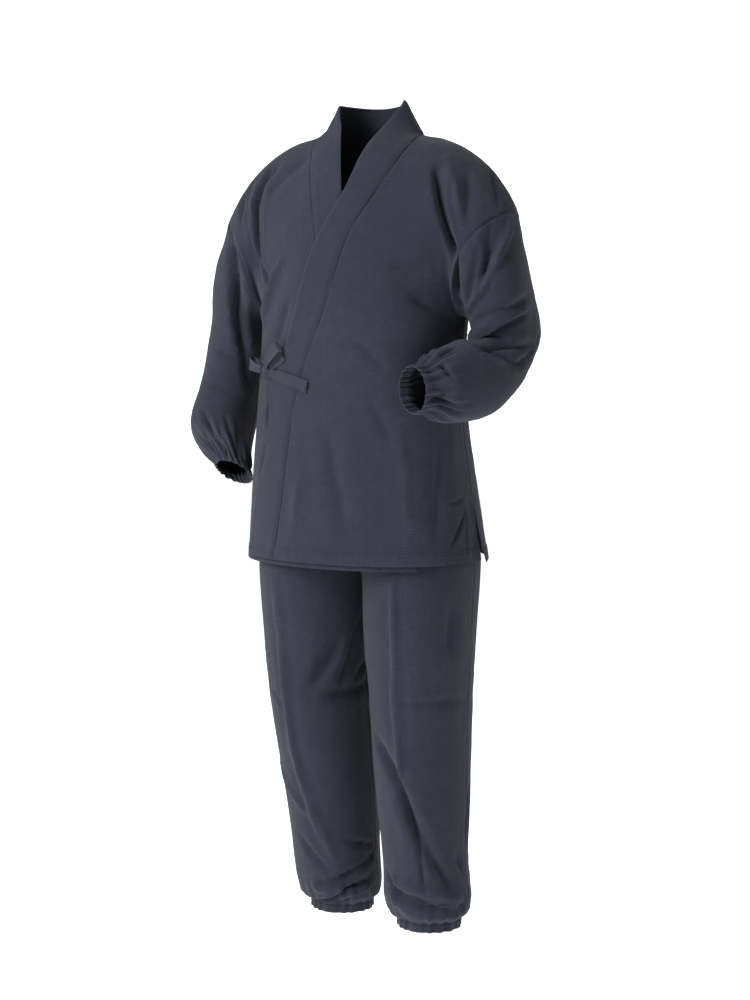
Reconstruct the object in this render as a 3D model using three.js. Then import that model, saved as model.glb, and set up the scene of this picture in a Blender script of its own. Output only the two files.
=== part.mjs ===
// Samue: a wrapped work jacket and elastic-cuffed trousers, kept in the form they hang in when worn.
// Every cut piece of cloth is its own node. Heights are measured from the ground the wearer
// stands on; the front faces -Y, the wearer's left is +X. ORIGIN moves the set to its mount.
import * as THREE from 'three';

// ---------------------------------------------------------------- driving sizes, mm
const WALL = 1.6; // one layer of the woven cloth
const BAND_WALL = 2.8; // the folded collar band
const SEAM_GAP = 0.3; // left open between two pieces that are sewn together
const ORIGIN = { x: 0, y: 20, z: 1345 }; // middle of the neck opening, at the base of the neck
const HEM = { left: 704, right: 696, back: 701 }; // height of each jacket hem
const UNDERARM = 1090; // height of the lowest point of the armholes
const UPPER = 280; // measure used above the underarm, from armhole to shoulder seam
const SLIT = 806; // top of the side slits
const LAP_LIFT = 6; // how far the outer front lies off the inner one
const SQUARE = 0.035; // how far the body is fuller than a plain oval
const NECK_S = 0.345; // where the collar meets the shoulder seam, as a share of its length
const NAPE = 0.275; // how far the neckline drops behind
const SLEEVE_GATHERS = 20; // drawn in by the elastic at each wrist
const LEG_GATHERS = 16; // at each ankle
const WAIST_GATHERS = 22;
const WAISTBAND = { low: 976, high: 1006 };
const ROWS = { skirt: 9, yoke: 10 }; // rows of each jacket panel below and above the underarm
const COLUMNS = { front: 11, shoulder: 5, neck: 8, band: 2, sleeve: 40, leg: 16, waist: 44 };
const HEAD_STEP = 0.5; // how far each sleeve head stands off its armhole
const TIE_WIDTH = 19;
const TIE_WALL = 1.8;

// height, middle, half width, depth in front of and behind the side seams
const TORSO = [
  { z: 640, mid: -1, half: 204, front: 150, back: 148 },
  { z: 760, mid: -6, half: 193, front: 142, back: 144 },
  { z: 850, mid: -10, half: 183, front: 137, back: 139 },
  { z: 940, mid: -12, half: 174, front: 131, back: 126 },
  { z: 1000, mid: -11, half: 170, front: 129, back: 119 },
  { z: 1090, mid: -5, half: 169, front: 135, back: 118 },
];
// height of the shoulder seam at each distance from the middle
const SHOULDER = [
  { x: 0, z: 1402 },
  { x: 45, z: 1394 },
  { x: 86, z: 1375 },
  { x: 122, z: 1368 },
  { x: 150, z: 1358 },
  { x: 176, z: 1343 },
  { x: 203, z: 1321 },
  { x: 226, z: 1292 },
  { x: 237, z: 1274 },
  { x: 246, z: 1256 },
];
const SHOULDER_END = { x: 246, y: 10, drop: { left: 0, right: 12 } };
// along each sleeve: middle of the section, half its width as a vector, half its depth
const SLEEVES = {
  left: [
    { v: 0.0, cx: 205, cy: 5, cz: 1173, hx: 41, hy: 5, hz: 83, d: 80 },
    { v: 0.1, cx: 214, cy: 8, cz: 1154, hx: 41, hy: 6, hz: 65, d: 80 },
    { v: 0.2, cx: 220, cy: 13, cz: 1125, hx: 44, hy: 5, hz: 52, d: 80 },
    { v: 0.32, cx: 224, cy: 19, cz: 1089, hx: 47, hy: 4, hz: 35, d: 77 },
    { v: 0.44, cx: 227, cy: 19, cz: 1063, hx: 48, hy: 2, hz: 19, d: 71 },
    { v: 0.54, cx: 226, cy: -1, cz: 1027, hx: 47, hy: -4, hz: 10, d: 50 },
    { v: 0.64, cx: 219, cy: -27, cz: 1009, hx: 47, hy: -10, hz: 5, d: 54 },
    { v: 0.75, cx: 206, cy: -56, cz: 998, hx: 47, hy: -15, hz: 5, d: 63 },
    { v: 0.86, cx: 188, cy: -97, cz: 990, hx: 45, hy: -17, hz: 3, d: 60 },
    { v: 0.92, cx: 172, cy: -126, cz: 987, hx: 42, hy: -18, hz: 2, d: 54 },
    { v: 0.96, cx: 159, cy: -142, cz: 985, hx: 31, hy: -15, hz: 1, d: 38 },
    { v: 1.0, cx: 147, cy: -157, cz: 984, hx: 29, hy: -15, hz: 1, d: 36 },
  ],
  right: [
    { v: 0.0, cx: 210, cy: 5, cz: 1167, hx: 36, hy: 5, hz: 77, d: 80 },
    { v: 0.1, cx: 215, cy: 8, cz: 1146, hx: 34, hy: 6, hz: 61, d: 80 },
    { v: 0.2, cx: 222, cy: 12, cz: 1114, hx: 38, hy: 5, hz: 47, d: 78 },
    { v: 0.32, cx: 230, cy: 17, cz: 1068, hx: 43, hy: 3, hz: 28, d: 73 },
    { v: 0.44, cx: 242, cy: 19, cz: 1025, hx: 46, hy: 1, hz: 14, d: 70 },
    { v: 0.55, cx: 251, cy: 16, cz: 985, hx: 47, hy: -2, hz: 8, d: 68 },
    { v: 0.66, cx: 258, cy: 6, cz: 945, hx: 48, hy: -5, hz: 6, d: 67 },
    { v: 0.77, cx: 262, cy: -9, cz: 908, hx: 50, hy: -6, hz: 6, d: 66 },
    { v: 0.87, cx: 257, cy: -27, cz: 878, hx: 50, hy: -6, hz: 8, d: 62 },
    { v: 0.93, cx: 243, cy: -38, cz: 858, hx: 44, hy: -5, hz: 9, d: 53 },
    { v: 0.965, cx: 230, cy: -45, cz: 844, hx: 32, hy: -4, hz: 8, d: 38 },
    { v: 1.0, cx: 220, cy: -51, cz: 831, hx: 30, hy: -4, hz: 8, d: 36 },
  ],
};
// down each leg: middle of the section, half its width and half its depth
const LEGS = {
  left: [
    { z: 98, cx: 110, cy: -4, a: 50, b: 49 },
    { z: 116, cx: 110, cy: -4, a: 51, b: 50 },
    { z: 127, cx: 109, cy: -4, a: 62, b: 61 },
    { z: 146, cx: 108, cy: -4, a: 70, b: 72 },
    { z: 180, cx: 105, cy: -3, a: 69, b: 75 },
    { z: 225, cx: 102, cy: -2, a: 68, b: 79 },
    { z: 300, cx: 98, cy: 0, a: 73, b: 88 },
    { z: 467, cx: 94, cy: 0, a: 80, b: 100 },
    { z: 600, cx: 92, cy: 0, a: 88, b: 111 },
    { z: 690, cx: 92, cy: 2, a: 91.5, b: 118 },
    { z: 730, cx: 83, cy: 6, a: 95, b: 117 },
    { z: 780, cx: 68, cy: 5.6, a: 100, b: 116 },
    { z: 850, cx: 50, cy: 5.4, a: 109, b: 113 },
    { z: 900, cx: 38, cy: 1, a: 114, b: 108 },
    { z: 940, cx: 30, cy: 1, a: 116, b: 103 },
    { z: 976, cx: 27, cy: 1, a: 112, b: 99 },
    { z: 1010, cx: 27, cy: 1, a: 112, b: 99 },
  ],
  right: [
    { z: 98, cx: 66, cy: 36, a: 50, b: 49 },
    { z: 116, cx: 66, cy: 36, a: 51, b: 50 },
    { z: 127, cx: 68, cy: 36, a: 61, b: 61 },
    { z: 146, cx: 71, cy: 35, a: 69, b: 72 },
    { z: 180, cx: 74, cy: 33, a: 71, b: 76 },
    { z: 225, cx: 76, cy: 30, a: 72, b: 80 },
    { z: 300, cx: 80, cy: 25, a: 75, b: 88 },
    { z: 380, cx: 86, cy: 18, a: 78, b: 95 },
    { z: 467, cx: 91, cy: 11, a: 82, b: 101 },
    { z: 600, cx: 92, cy: 3, a: 88, b: 111 },
    { z: 690, cx: 92, cy: 2, a: 91.5, b: 118 },
    { z: 730, cx: 83, cy: 6, a: 95, b: 117 },
    { z: 780, cx: 68, cy: 5.6, a: 100, b: 116 },
    { z: 850, cx: 50, cy: 5.4, a: 109, b: 113 },
    { z: 900, cx: 38, cy: 1, a: 114, b: 108 },
    { z: 940, cx: 30, cy: 1, a: 116, b: 103 },
    { z: 976, cx: 27, cy: 1, a: 112, b: 99 },
    { z: 1010, cx: 27, cy: 1, a: 112, b: 99 },
  ],
};
// up each front: where the collar seam and the free edge of the band run across the body
// (-1 right side seam, 1 left side seam), and how far that edge stands up off the shoulder
const COLLARS = {
  left: [
    { q: 695, seam: -0.345, edge: -0.58, sx: 0, sy: 0, sz: 0 },
    { q: 780, seam: -0.297, edge: -0.525, sx: 0, sy: 0, sz: 0 },
    { q: 860, seam: -0.262, edge: -0.485, sx: 0, sy: 0, sz: 0 },
    { q: 921, seam: -0.238, edge: -0.455, sx: 0, sy: 0, sz: 0 },
    { q: 966, seam: -0.212, edge: -0.43, sx: 0, sy: 0, sz: 0 },
    { q: 1036, seam: -0.134, edge: -0.305, sx: 0, sy: 0, sz: 0 },
    { q: 1087, seam: -0.062, edge: -0.245, sx: 0, sy: 0, sz: 0 },
    { q: 1163, seam: 0.028, edge: -0.17, sx: 0, sy: 0, sz: 0 },
    { q: 1205, seam: 0.09, edge: -0.09, sx: 0, sy: 0, sz: 0 },
    { q: 1249, seam: 0.21, edge: 0.035, sx: 0, sy: 0, sz: 0 },
    { q: 1290, seam: 0.295, edge: 0.1, sx: 0, sy: 4, sz: 6 },
    { q: 1330, seam: 0.345, edge: 0.17, sx: -2, sy: 13, sz: 12 },
    { q: 1350, seam: 0.35, edge: 0.23, sx: -7, sy: 10, sz: 19 },
    { q: 1370, seam: 0.345, edge: 0.28, sx: -11, sy: -10, sz: 47 },
  ],
  right: [
    { q: 690, seam: 0.3, edge: 0.47, sx: 0, sy: 0, sz: 0 },
    { q: 800, seam: 0.26, edge: 0.43, sx: 0, sy: 0, sz: 0 },
    { q: 900, seam: 0.2, edge: 0.375, sx: 0, sy: 0, sz: 0 },
    { q: 1000, seam: 0.12, edge: 0.3, sx: 0, sy: 0, sz: 0 },
    { q: 1087, seam: 0.03, edge: 0.22, sx: 0, sy: 0, sz: 0 },
    { q: 1150, seam: -0.04, edge: 0.14, sx: 0, sy: 0, sz: 0 },
    { q: 1204, seam: -0.113, edge: 0.075, sx: 0, sy: 0, sz: 0 },
    { q: 1250, seam: -0.19, edge: 0.01, sx: 0, sy: 0, sz: 0 },
    { q: 1298, seam: -0.272, edge: -0.07, sx: -4, sy: 10, sz: 14 },
    { q: 1330, seam: -0.315, edge: -0.16, sx: 2, sy: 14, sz: 13 },
    { q: 1350, seam: -0.34, edge: -0.22, sx: 6, sy: 8, sz: 17 },
    { q: 1370, seam: -0.345, edge: -0.28, sx: 12, sy: -12, sz: 40 },
  ],
};
// the bow at the right side: each strap by the places it passes, s across and q up the outer
// front, and its height off it
const TIES = {
  tie_tail: [
    { v: 0, s: -0.411, q: 1000, off: 5.6 },
    { v: 0.3, s: -0.33, q: 996, off: 4.3 },
    { v: 0.65, s: -0.22, q: 989, off: 3.7 },
    { v: 1, s: -0.116, q: 981, off: 4.1 },
  ],
  tie_front: [
    { v: 0, s: -0.3, q: 1030, off: 3.3 },
    { v: 0.5, s: -0.355, q: 1020, off: 3.2 },
    { v: 1, s: -0.415, q: 1008, off: 3.2 },
  ],
  tie_side: [
    { v: 0, s: -0.96, q: 1012, off: -3.7 },
    { v: 0.5, s: -0.72, q: 1010, off: -3.4 },
    { v: 1, s: -0.484, q: 1003, off: -1.4 },
  ],
  tie_loop_long: [
    { v: 0, s: -0.488, q: 1003, off: 3 },
    { v: 0.25, s: -0.59, q: 1007, off: 2 },
    { v: 0.45, s: -0.7, q: 1010, off: 2.4 },
    { v: 0.55, s: -0.722, q: 1011, off: 6.4 },
    { v: 0.65, s: -0.69, q: 1011, off: 10.4 },
    { v: 0.8, s: -0.59, q: 1008, off: 10.6 },
    { v: 1, s: -0.475, q: 1004, off: 7.5 },
  ],
  tie_loop_short: [
    { v: 0, s: -0.412, q: 1012, off: 5.9 },
    { v: 0.3, s: -0.368, q: 1027, off: 6.2 },
    { v: 0.47, s: -0.322, q: 1041, off: 7 },
    { v: 0.55, s: -0.311, q: 1043, off: 9.5 },
    { v: 0.65, s: -0.324, q: 1041, off: 12 },
    { v: 0.8, s: -0.368, q: 1029, off: 11.6 },
    { v: 1, s: -0.43, q: 1013, off: 9 },
  ],
};
// ends at which each strap is drawn together by the knot
const TIE_PINCH = {
  tie_tail: [1, 0],
  tie_front: [0, 1],
  tie_side: [0, 1],
  tie_loop_long: [1, 1],
  tie_loop_short: [1, 1],
};
const KNOT = { s: -0.447, q: 1003, off: 1.8, along: 10, across: 11, thick: 8 };
// behind the neck the free edge of the collar stands back and dips
const NECK_EDGE = { back: 66, drop: 8 };

// soft folds of the body, arms and legs: they run from a to b over a half width w and
// sink in (d below zero) or stand up (d above zero)
const FOLDS = [
  { on: 'body', a: [144, -58, 1315], b: [174, -70, 1212], w: 12, d: -8 },
  { on: 'arm', a: [174, -70, 1212], b: [178, -66, 1134], w: 12, d: -9 },
  { on: 'arm', a: [178, -66, 1134], b: [180, -42, 1099], w: 11, d: -7 },
  { on: 'body', a: [153, -40, 1334], b: [187, -62, 1257], w: 12, d: 5 },
  { on: 'body', a: [83, -121, 1165], b: [146, -81, 1168], w: 12, d: -4 },
  { on: 'body', a: [113, -109, 1134], b: [161, -26, 1073], w: 24, d: -6 },
  { on: 'body', a: [-143, -43, 1327], b: [-162, -52, 1300], w: 11, d: -6 },
  { on: 'body', a: [-162, -52, 1300], b: [-168, -67, 1249], w: 11, d: -7 },
  { on: 'body', a: [-168, -67, 1249], b: [-155, -73, 1153], w: 11, d: -6 },
  { on: 'body', a: [-200, -41, 1279], b: [-188, -65, 1238], w: 9, d: -4 },
  { on: 'body', a: [-73, -56, 1342], b: [-150, -67, 1276], w: 12, d: -4 },
  { on: 'body', a: [-105, -107, 1175], b: [-145, -84, 1072], w: 12, d: 5 },
  { on: 'body', a: [-79, -124, 1116], b: [-114, -108, 1044], w: 14, d: -4 },
  { on: 'body', a: [-54, -140, 850], b: [-71, -143, 738], w: 14, d: 3 },
  { on: 'body', a: [-2, -139, 900], b: [27, -147, 745], w: 18, d: -4 },
  { on: 'body', a: [106, -112, 917], b: [126, -118, 747], w: 20, d: 4 },
  { on: 'body', a: [153, -65, 900], b: [159, -92, 738], w: 18, d: -5 },
  { on: 'body', a: [-123, -118, 893], b: [-148, -108, 823], w: 8, d: -3 },
  { on: 'arm', a: [247, -15, 1244], b: [198, -54, 1100], w: 12, d: 6 },
  { on: 'arm', a: [229, -49, 1232], b: [224, -69, 1142], w: 10, d: -6 },
  { on: 'arm', a: [205, -50, 1086], b: [253, -57, 1105], w: 9, d: -5 },
  { on: 'arm', a: [253, -57, 1105], b: [275, -5, 1119], w: 9, d: -5 },
  { on: 'arm', a: [170, -50, 1050], b: [245, -73, 1035], w: 9, d: -5 },
  { on: 'arm', a: [245, -73, 1035], b: [269, -25, 1021], w: 9, d: -5 },
  { on: 'arm', a: [269, -25, 1021], b: [278, 24, 1039], w: 9, d: -4 },
  { on: 'arm', a: [176, -171, 971], b: [218, -130, 958], w: 8, d: -5 },
  { on: 'arm', a: [170, -158, 954], b: [198, -131, 942], w: 7, d: -4 },
  { on: 'arm', a: [190, -157, 976], b: [213, -143, 988], w: 8, d: -4 },
  { on: 'arm', a: [184, -145, 1030], b: [205, -118, 1043], w: 8, d: -4 },
  { on: 'arm', a: [183, -147, 1025], b: [204, -150, 1011], w: 7, d: -4 },
  { on: 'arm', a: [131, -89, 1039], b: [172, -141, 1033], w: 7, d: -3 },
  { on: 'arm', a: [-203, -70, 1206], b: [-206, -64, 1112], w: 12, d: -5 },
  { on: 'arm', a: [-206, -64, 1112], b: [-209, -42, 1030], w: 12, d: -5 },
  { on: 'arm', a: [-256, -51, 1030], b: [-208, -34, 1010], w: 12, d: -4 },
  { on: 'arm', a: [-265, -57, 973], b: [-215, -39, 961], w: 12, d: -4 },
  { on: 'arm', a: [-262, -79, 901], b: [-243, -70, 848], w: 8, d: -4 },
  { on: 'arm', a: [-234, -77, 910], b: [-216, -83, 854], w: 8, d: -4 },
  { on: 'arm', a: [-211, -53, 908], b: [-199, -69, 850], w: 8, d: -4 },
  { on: 'leg', a: [-111, -112, 664], b: [-107, -93, 501], w: 9, d: 4 },
  { on: 'leg', a: [-107, -93, 501], b: [-102, -75, 382], w: 9, d: 4 },
  { on: 'leg', a: [-102, -75, 382], b: [-67, -56, 265], w: 9, d: 4 },
  { on: 'leg', a: [-67, -56, 265], b: [-41, -34, 181], w: 9, d: 3 },
  { on: 'leg', a: [30, -75, 574], b: [-40, -75, 527], w: 13, d: -7 },
  { on: 'leg', a: [-40, -75, 527], b: [-66, -88, 492], w: 13, d: -6 },
  { on: 'leg', a: [-8, 9, 486], b: [-62, -84, 474], w: 13, d: -6 },
  { on: 'leg', a: [-70, -38, 155], b: [-7, 11, 160], w: 10, d: -7 },
  { on: 'leg', a: [-91, -8, 109], b: [-20, -8, 140], w: 10, d: -6 },
  { on: 'leg', a: [-102, -30, 153], b: [-7, 10, 202], w: 10, d: -7 },
  { on: 'leg', a: [95, -115, 675], b: [94, -108, 569], w: 9, d: 4 },
  { on: 'leg', a: [94, -108, 569], b: [96, -101, 486], w: 9, d: 4 },
  { on: 'leg', a: [96, -101, 486], b: [97, -90, 335], w: 9, d: 4 },
  { on: 'leg', a: [96, -101, 480], b: [134, -88, 482], w: 8, d: -3 },
  { on: 'leg', a: [134, -88, 482], b: [174, -6, 481], w: 8, d: -3 },
  { on: 'leg', a: [54, -82, 420], b: [96, -92, 351], w: 13, d: -7 },
  { on: 'leg', a: [96, -92, 351], b: [129, -76, 239], w: 13, d: -7 },
  { on: 'leg', a: [98, -90, 325], b: [141, -67, 223], w: 11, d: -5 },
  { on: 'leg', a: [141, -67, 223], b: [168, -36, 172], w: 11, d: -7 },
  { on: 'leg', a: [65, -63, 171], b: [120, -76, 157], w: 10, d: -8 },
  { on: 'leg', a: [120, -76, 157], b: [171, -19, 132], w: 10, d: -7 },
  { on: 'body', a: [-150, 100, 1190], b: [-112, 112, 1040], w: 16, d: -5 },
  { on: 'body', a: [148, 100, 1185], b: [120, 112, 1030], w: 16, d: -5 },
  { on: 'body', a: [-60, 112, 1080], b: [-48, 124, 900], w: 20, d: 4 },
  { on: 'body', a: [70, 112, 1060], b: [84, 124, 880], w: 20, d: 4 },
  { on: 'body', a: [-100, 128, 930], b: [-10, 128, 905], w: 14, d: -4 },
  { on: 'body', a: [112, 124, 945], b: [20, 126, 925], w: 14, d: -4 },
  { on: 'body', a: [-110, 130, 860], b: [-124, 140, 720], w: 18, d: -4 },
  { on: 'body', a: [36, 136, 850], b: [44, 146, 715], w: 22, d: 4 },
  { on: 'body', a: [130, 116, 870], b: [150, 120, 720], w: 16, d: -4 },
  { on: 'body', a: [-178, 60, 1060], b: [-184, 52, 930], w: 14, d: -4 },
  { on: 'body', a: [158, 60, 1000], b: [168, 60, 880], w: 14, d: -4 },
  { on: 'arm', a: [250, 98, 1180], b: [246, 106, 1080], w: 13, d: -5 },
  { on: 'arm', a: [205, 108, 1150], b: [214, 104, 1040], w: 13, d: 5 },
  { on: 'arm', a: [262, 66, 1010], b: [180, 60, 1000], w: 12, d: -5 },
  { on: 'arm', a: [230, 70, 960], b: [200, 30, 940], w: 12, d: -4 },
  { on: 'arm', a: [-238, 96, 1150], b: [-246, 92, 1040], w: 13, d: -5 },
  { on: 'arm', a: [-270, 88, 1080], b: [-290, 74, 960], w: 13, d: 4 },
  { on: 'arm', a: [-285, 60, 1010], b: [-222, 84, 990], w: 12, d: -4 },
  { on: 'arm', a: [-300, 40, 930], b: [-236, 60, 915], w: 12, d: -4 },
  { on: 'arm', a: [-290, 20, 880], b: [-270, -10, 840], w: 9, d: -4 },
  { on: 'leg', a: [96, 112, 560], b: [94, 104, 430], w: 15, d: 5 },
  { on: 'leg', a: [-96, 114, 560], b: [-94, 112, 430], w: 15, d: 5 },
  { on: 'leg', a: [40, 80, 520], b: [140, 88, 480], w: 13, d: -5 },
  { on: 'leg', a: [-40, 90, 510], b: [-140, 92, 470], w: 13, d: -5 },
  { on: 'leg', a: [60, 76, 400], b: [150, 76, 370], w: 13, d: -4 },
  { on: 'leg', a: [-44, 96, 390], b: [-140, 92, 360], w: 13, d: -4 },
  { on: 'leg', a: [50, 60, 225], b: [150, 62, 215], w: 10, d: -7 },
  { on: 'leg', a: [-20, 90, 230], b: [-120, 92, 216], w: 10, d: -7 },
  { on: 'leg', a: [60, 62, 170], b: [158, 46, 176], w: 10, d: -6 },
  { on: 'leg', a: [-22, 88, 176], b: [-118, 92, 168], w: 10, d: -6 },
  { on: 'leg', a: [172, 20, 330], b: [170, 10, 240], w: 10, d: -5 },
  { on: 'leg', a: [-150, 40, 300], b: [-138, 40, 220], w: 10, d: -5 },
  { on: 'leg', a: [150, -50, 640], b: [152, -46, 560], w: 14, d: -5 },
  { on: 'leg', a: [60, 100, 650], b: [30, 96, 560], w: 13, d: -5 },
  { on: 'leg', a: [-62, 100, 650], b: [-30, 98, 560], w: 13, d: -5 },
];

// ---------------------------------------------------------------- small helpers
const mix = (a, b, t) => a + (b - a) * t;
const clamp = (t, lo, hi) => Math.min(hi, Math.max(lo, t));
const ease = (t) => {
  const c = clamp(t, 0, 1);
  return c * c * (3 - 2 * c);
};
const add = (p, q, k = 1) => [p[0] + q[0] * k, p[1] + q[1] * k, p[2] + q[2] * k];
const sub = (p, q) => [p[0] - q[0], p[1] - q[1], p[2] - q[2]];
const cross = (p, q) => [
  p[1] * q[2] - p[2] * q[1],
  p[2] * q[0] - p[0] * q[2],
  p[0] * q[1] - p[1] * q[0],
];
const dot = (p, q) => p[0] * q[0] + p[1] * q[1] + p[2] * q[2];
const unit = (p) => {
  const l = Math.hypot(p[0], p[1], p[2]) || 1;
  return [p[0] / l, p[1] / l, p[2] / l];
};
const blend = (p, q, t) => [mix(p[0], q[0], t), mix(p[1], q[1], t), mix(p[2], q[2], t)];

// smooth value of one column of a table where its key column reaches `at`
function look(rows, key, at, col) {
  const last = rows.length - 1;
  let i = 0;
  while (i < last - 1 && at > rows[i + 1][key]) i += 1;
  const slope = (j) => {
    const lo = rows[Math.max(0, j - 1)];
    const hi = rows[Math.min(last, j + 1)];
    return (hi[col] - lo[col]) / (hi[key] - lo[key]);
  };
  const span = rows[i + 1][key] - rows[i][key];
  const t = (at - rows[i][key]) / span;
  if (t < 0) return rows[0][col] + slope(0) * (at - rows[0][key]);
  if (t > 1) return rows[last][col] + slope(last) * (at - rows[last][key]);
  const t2 = t * t;
  const t3 = t2 * t;
  return (2 * t3 - 3 * t2 + 1) * rows[i][col]
    + (t3 - 2 * t2 + t) * span * slope(i)
    + (3 * t2 - 2 * t3) * rows[i + 1][col]
    + (t3 - t2) * span * slope(i + 1);
}

// sum of the folds at a point of the body, an arm or a leg
function relief(p, on) {
  let sum = 0;
  for (const f of FOLDS) {
    if (f.on !== on) continue;
    const along = sub(f.b, f.a);
    const t = clamp(dot(sub(p, f.a), along) / dot(along, along), 0, 1);
    const far = Math.hypot(...sub(p, add(f.a, along, t)));
    if (far > f.w * 3) continue;
    const taper = ease(t / 0.3) * ease((1 - t) / 0.3) * 0.65 + 0.35;
    sum += f.d * taper * Math.exp(-((far / f.w) ** 2));
  }
  return sum;
}

// ---------------------------------------------------------------- the form of the body
function ring(s, z, face) {
  const a = s * Math.PI / 2;
  const full = 1 + SQUARE * Math.sin(2 * a) ** 2;
  const half = look(TORSO, 'z', z, 'half');
  const depth = look(TORSO, 'z', z, face < 0 ? 'front' : 'back');
  const mid = look(TORSO, 'z', z, 'mid');
  return [mid + half * Math.sin(a) * full, face * depth * Math.cos(a) * full, z];
}

const sideDrop = (s) => (s < 0 ? SHOULDER_END.drop.right : SHOULDER_END.drop.left);

function shoulder(s) {
  const x = SHOULDER_END.x * s;
  const fall = sideDrop(s) * ease((Math.abs(s) - 0.2) / 0.8);
  return [x, SHOULDER_END.y, look(SHOULDER, 'x', Math.abs(x), 'z') - fall];
}

// the armhole, from the underarm (w 0) to the shoulder (w 1), in front or behind
function armhole(side, w, face) {
  const low = ring(side, UNDERARM, face);
  const high = shoulder(side);
  const up = (1 - Math.cos(Math.PI * w)) / 2;
  const out = Math.sin(Math.PI * w);
  const p = blend(low, high, up);
  return [p[0] - side * 18 * out * out, p[1] + face * 80 * out, p[2] + 15 * out * out];
}

// body surface: s across (-1 right side seam, 1 left), q up, face -1 front or 1 back
function torso(s, q, face) {
  if (q <= UNDERARM) return ring(s, q, face);
  const w = (q - UNDERARM) / UPPER;
  const phi = Math.PI / 2 * (0.45 * w + 0.55 * w * w);
  const inward = face < 0 ? Math.cos(phi) : Math.sign(Math.cos(phi)) * Math.abs(Math.cos(phi)) ** 0.8;
  const upward = face < 0 ? Math.sin(phi) : Math.sin(phi) ** 0.75;
  const column = (at) => {
    const low = ring(at, UNDERARM, face);
    const high = shoulder(at);
    const x = mix(low[0], high[0], ease(w));
    return [x, high[1] + (low[1] - high[1]) * inward, mix(UNDERARM, high[2], upward)];
  };
  const side = s < 0 ? -1 : 1;
  const reach = clamp((Math.abs(s) - 0.2) / 0.8, 0, 1.3) ** (2 + 3 * Math.abs(1 - w) ** 3);
  return add(column(s), sub(armhole(side, w, face), column(side)), reach);
}

function normalOf(f, u, v, du = 0.004, dv = 0.004) {
  return unit(cross(sub(f(u + du, v), f(u - du, v)), sub(f(u, v + dv), f(u, v - dv))));
}

// lift of the outer front off the inner one
function lap(s, q) {
  const w = (q - UNDERARM) / UPPER;
  return LAP_LIFT * ease((1 - s) / 0.5) * (1 - ease((w - 0.62) / 0.38));
}

const TOP = UNDERARM + UPPER;

function frontSkin(side, s, q, off = 0) {
  const n = unit(cross(
    sub(torso(s + 0.004, q, -1), torso(s - 0.004, q, -1)),
    sub(torso(s, q + 1, -1), torso(s, q - 1, -1)),
  ));
  return add(torso(s, q, -1), n, off + (side > 0 ? lap(s, q) : 0));
}

// the back opens out a little below the slits
function backSkin(s, q) {
  const p = torso(s, q, 1);
  const kick = 9 * clamp((SLIT - q) / (SLIT - HEM.back), 0, 1.1) ** 1.5 * Math.abs(s) ** 6;
  return [p[0] + Math.sign(s) * kick, p[1], p[2]];
}

// across the back, columns end at the shoulder seam or, in the middle, at the neckline
function backPanel(u, row) {
  const c = 2 * u - 1;
  const side = c < 0 ? -1 : 1;
  const m = Math.abs(c);
  const middle = m <= 1 / 3;
  const s = middle
    ? NECK_S * Math.sin(Math.PI / 2 * m * 3)
    : NECK_S + (1 - NECK_S) * (m - 1 / 3) * 1.5;
  const dip = middle ? NAPE * Math.cos(Math.PI / 2 * m * 3) : 0;
  const q = row <= ROWS.skirt
    ? mix(HEM.back, UNDERARM, row / ROWS.skirt)
    : mix(UNDERARM, TOP - UPPER * dip, (row - ROWS.skirt) / ROWS.yoke);
  return backSkin(side * s, q);
}

// ---------------------------------------------------------------- the collar band
// t 0 to 1 up the left front, 1 to 2 round the back of the neck, 2 to 3 down the right front;
// u 0 at the seam, 1 at the free edge
function bandFront(side, u, q) {
  const rows = side > 0 ? COLLARS.left : COLLARS.right;
  const at = (col) => look(rows, 'q', q, col);
  const s = mix(at('seam'), at('edge'), u);
  const p = frontSkin(side, s, q, 1);
  return add(p, [at('sx'), at('sy'), at('sz')], u * u);
}

function bandNeck(u, t) {
  const turn = Math.PI * t;
  const seam = add(torso(NECK_S * Math.cos(turn), TOP - UPPER * NAPE * Math.sin(turn), 1), [0, 0, 1]);
  const from = bandFront(1, 1, TOP);
  const to = bandFront(-1, 1, TOP);
  const half = (1 - Math.cos(turn)) / 2;
  const edge = [
    mix(from[0], to[0], half),
    mix(from[1], to[1], half) + NECK_EDGE.back * Math.sin(turn),
    mix(from[2], to[2], half) - NECK_EDGE.drop * Math.sin(turn) ** 2,
  ];
  return blend(seam, edge, u);
}

function bandRun(u, t) {
  if (t < 1) return bandFront(1, u, mix(HEM.left, TOP, t));
  if (t > 2) return bandFront(-1, u, mix(TOP, HEM.right, t - 2));
  return bandNeck(u, t - 1);
}

// the free edge runs on evenly past the shoulder seams
function collar(u, t) {
  const far = Math.min(Math.abs(t - 1), Math.abs(t - 2));
  const even = u * (1 - ease(far / 0.12));
  if (even === 0) return bandRun(u, t);
  const wide = blend(bandRun(u, t - 0.05), bandRun(u, t + 0.05), 0.5);
  const close = blend(bandRun(u, t - 0.025), bandRun(u, t + 0.025), 0.5);
  return blend(bandRun(u, t), blend(wide, close, 0.5), even * 0.85);
}

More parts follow.
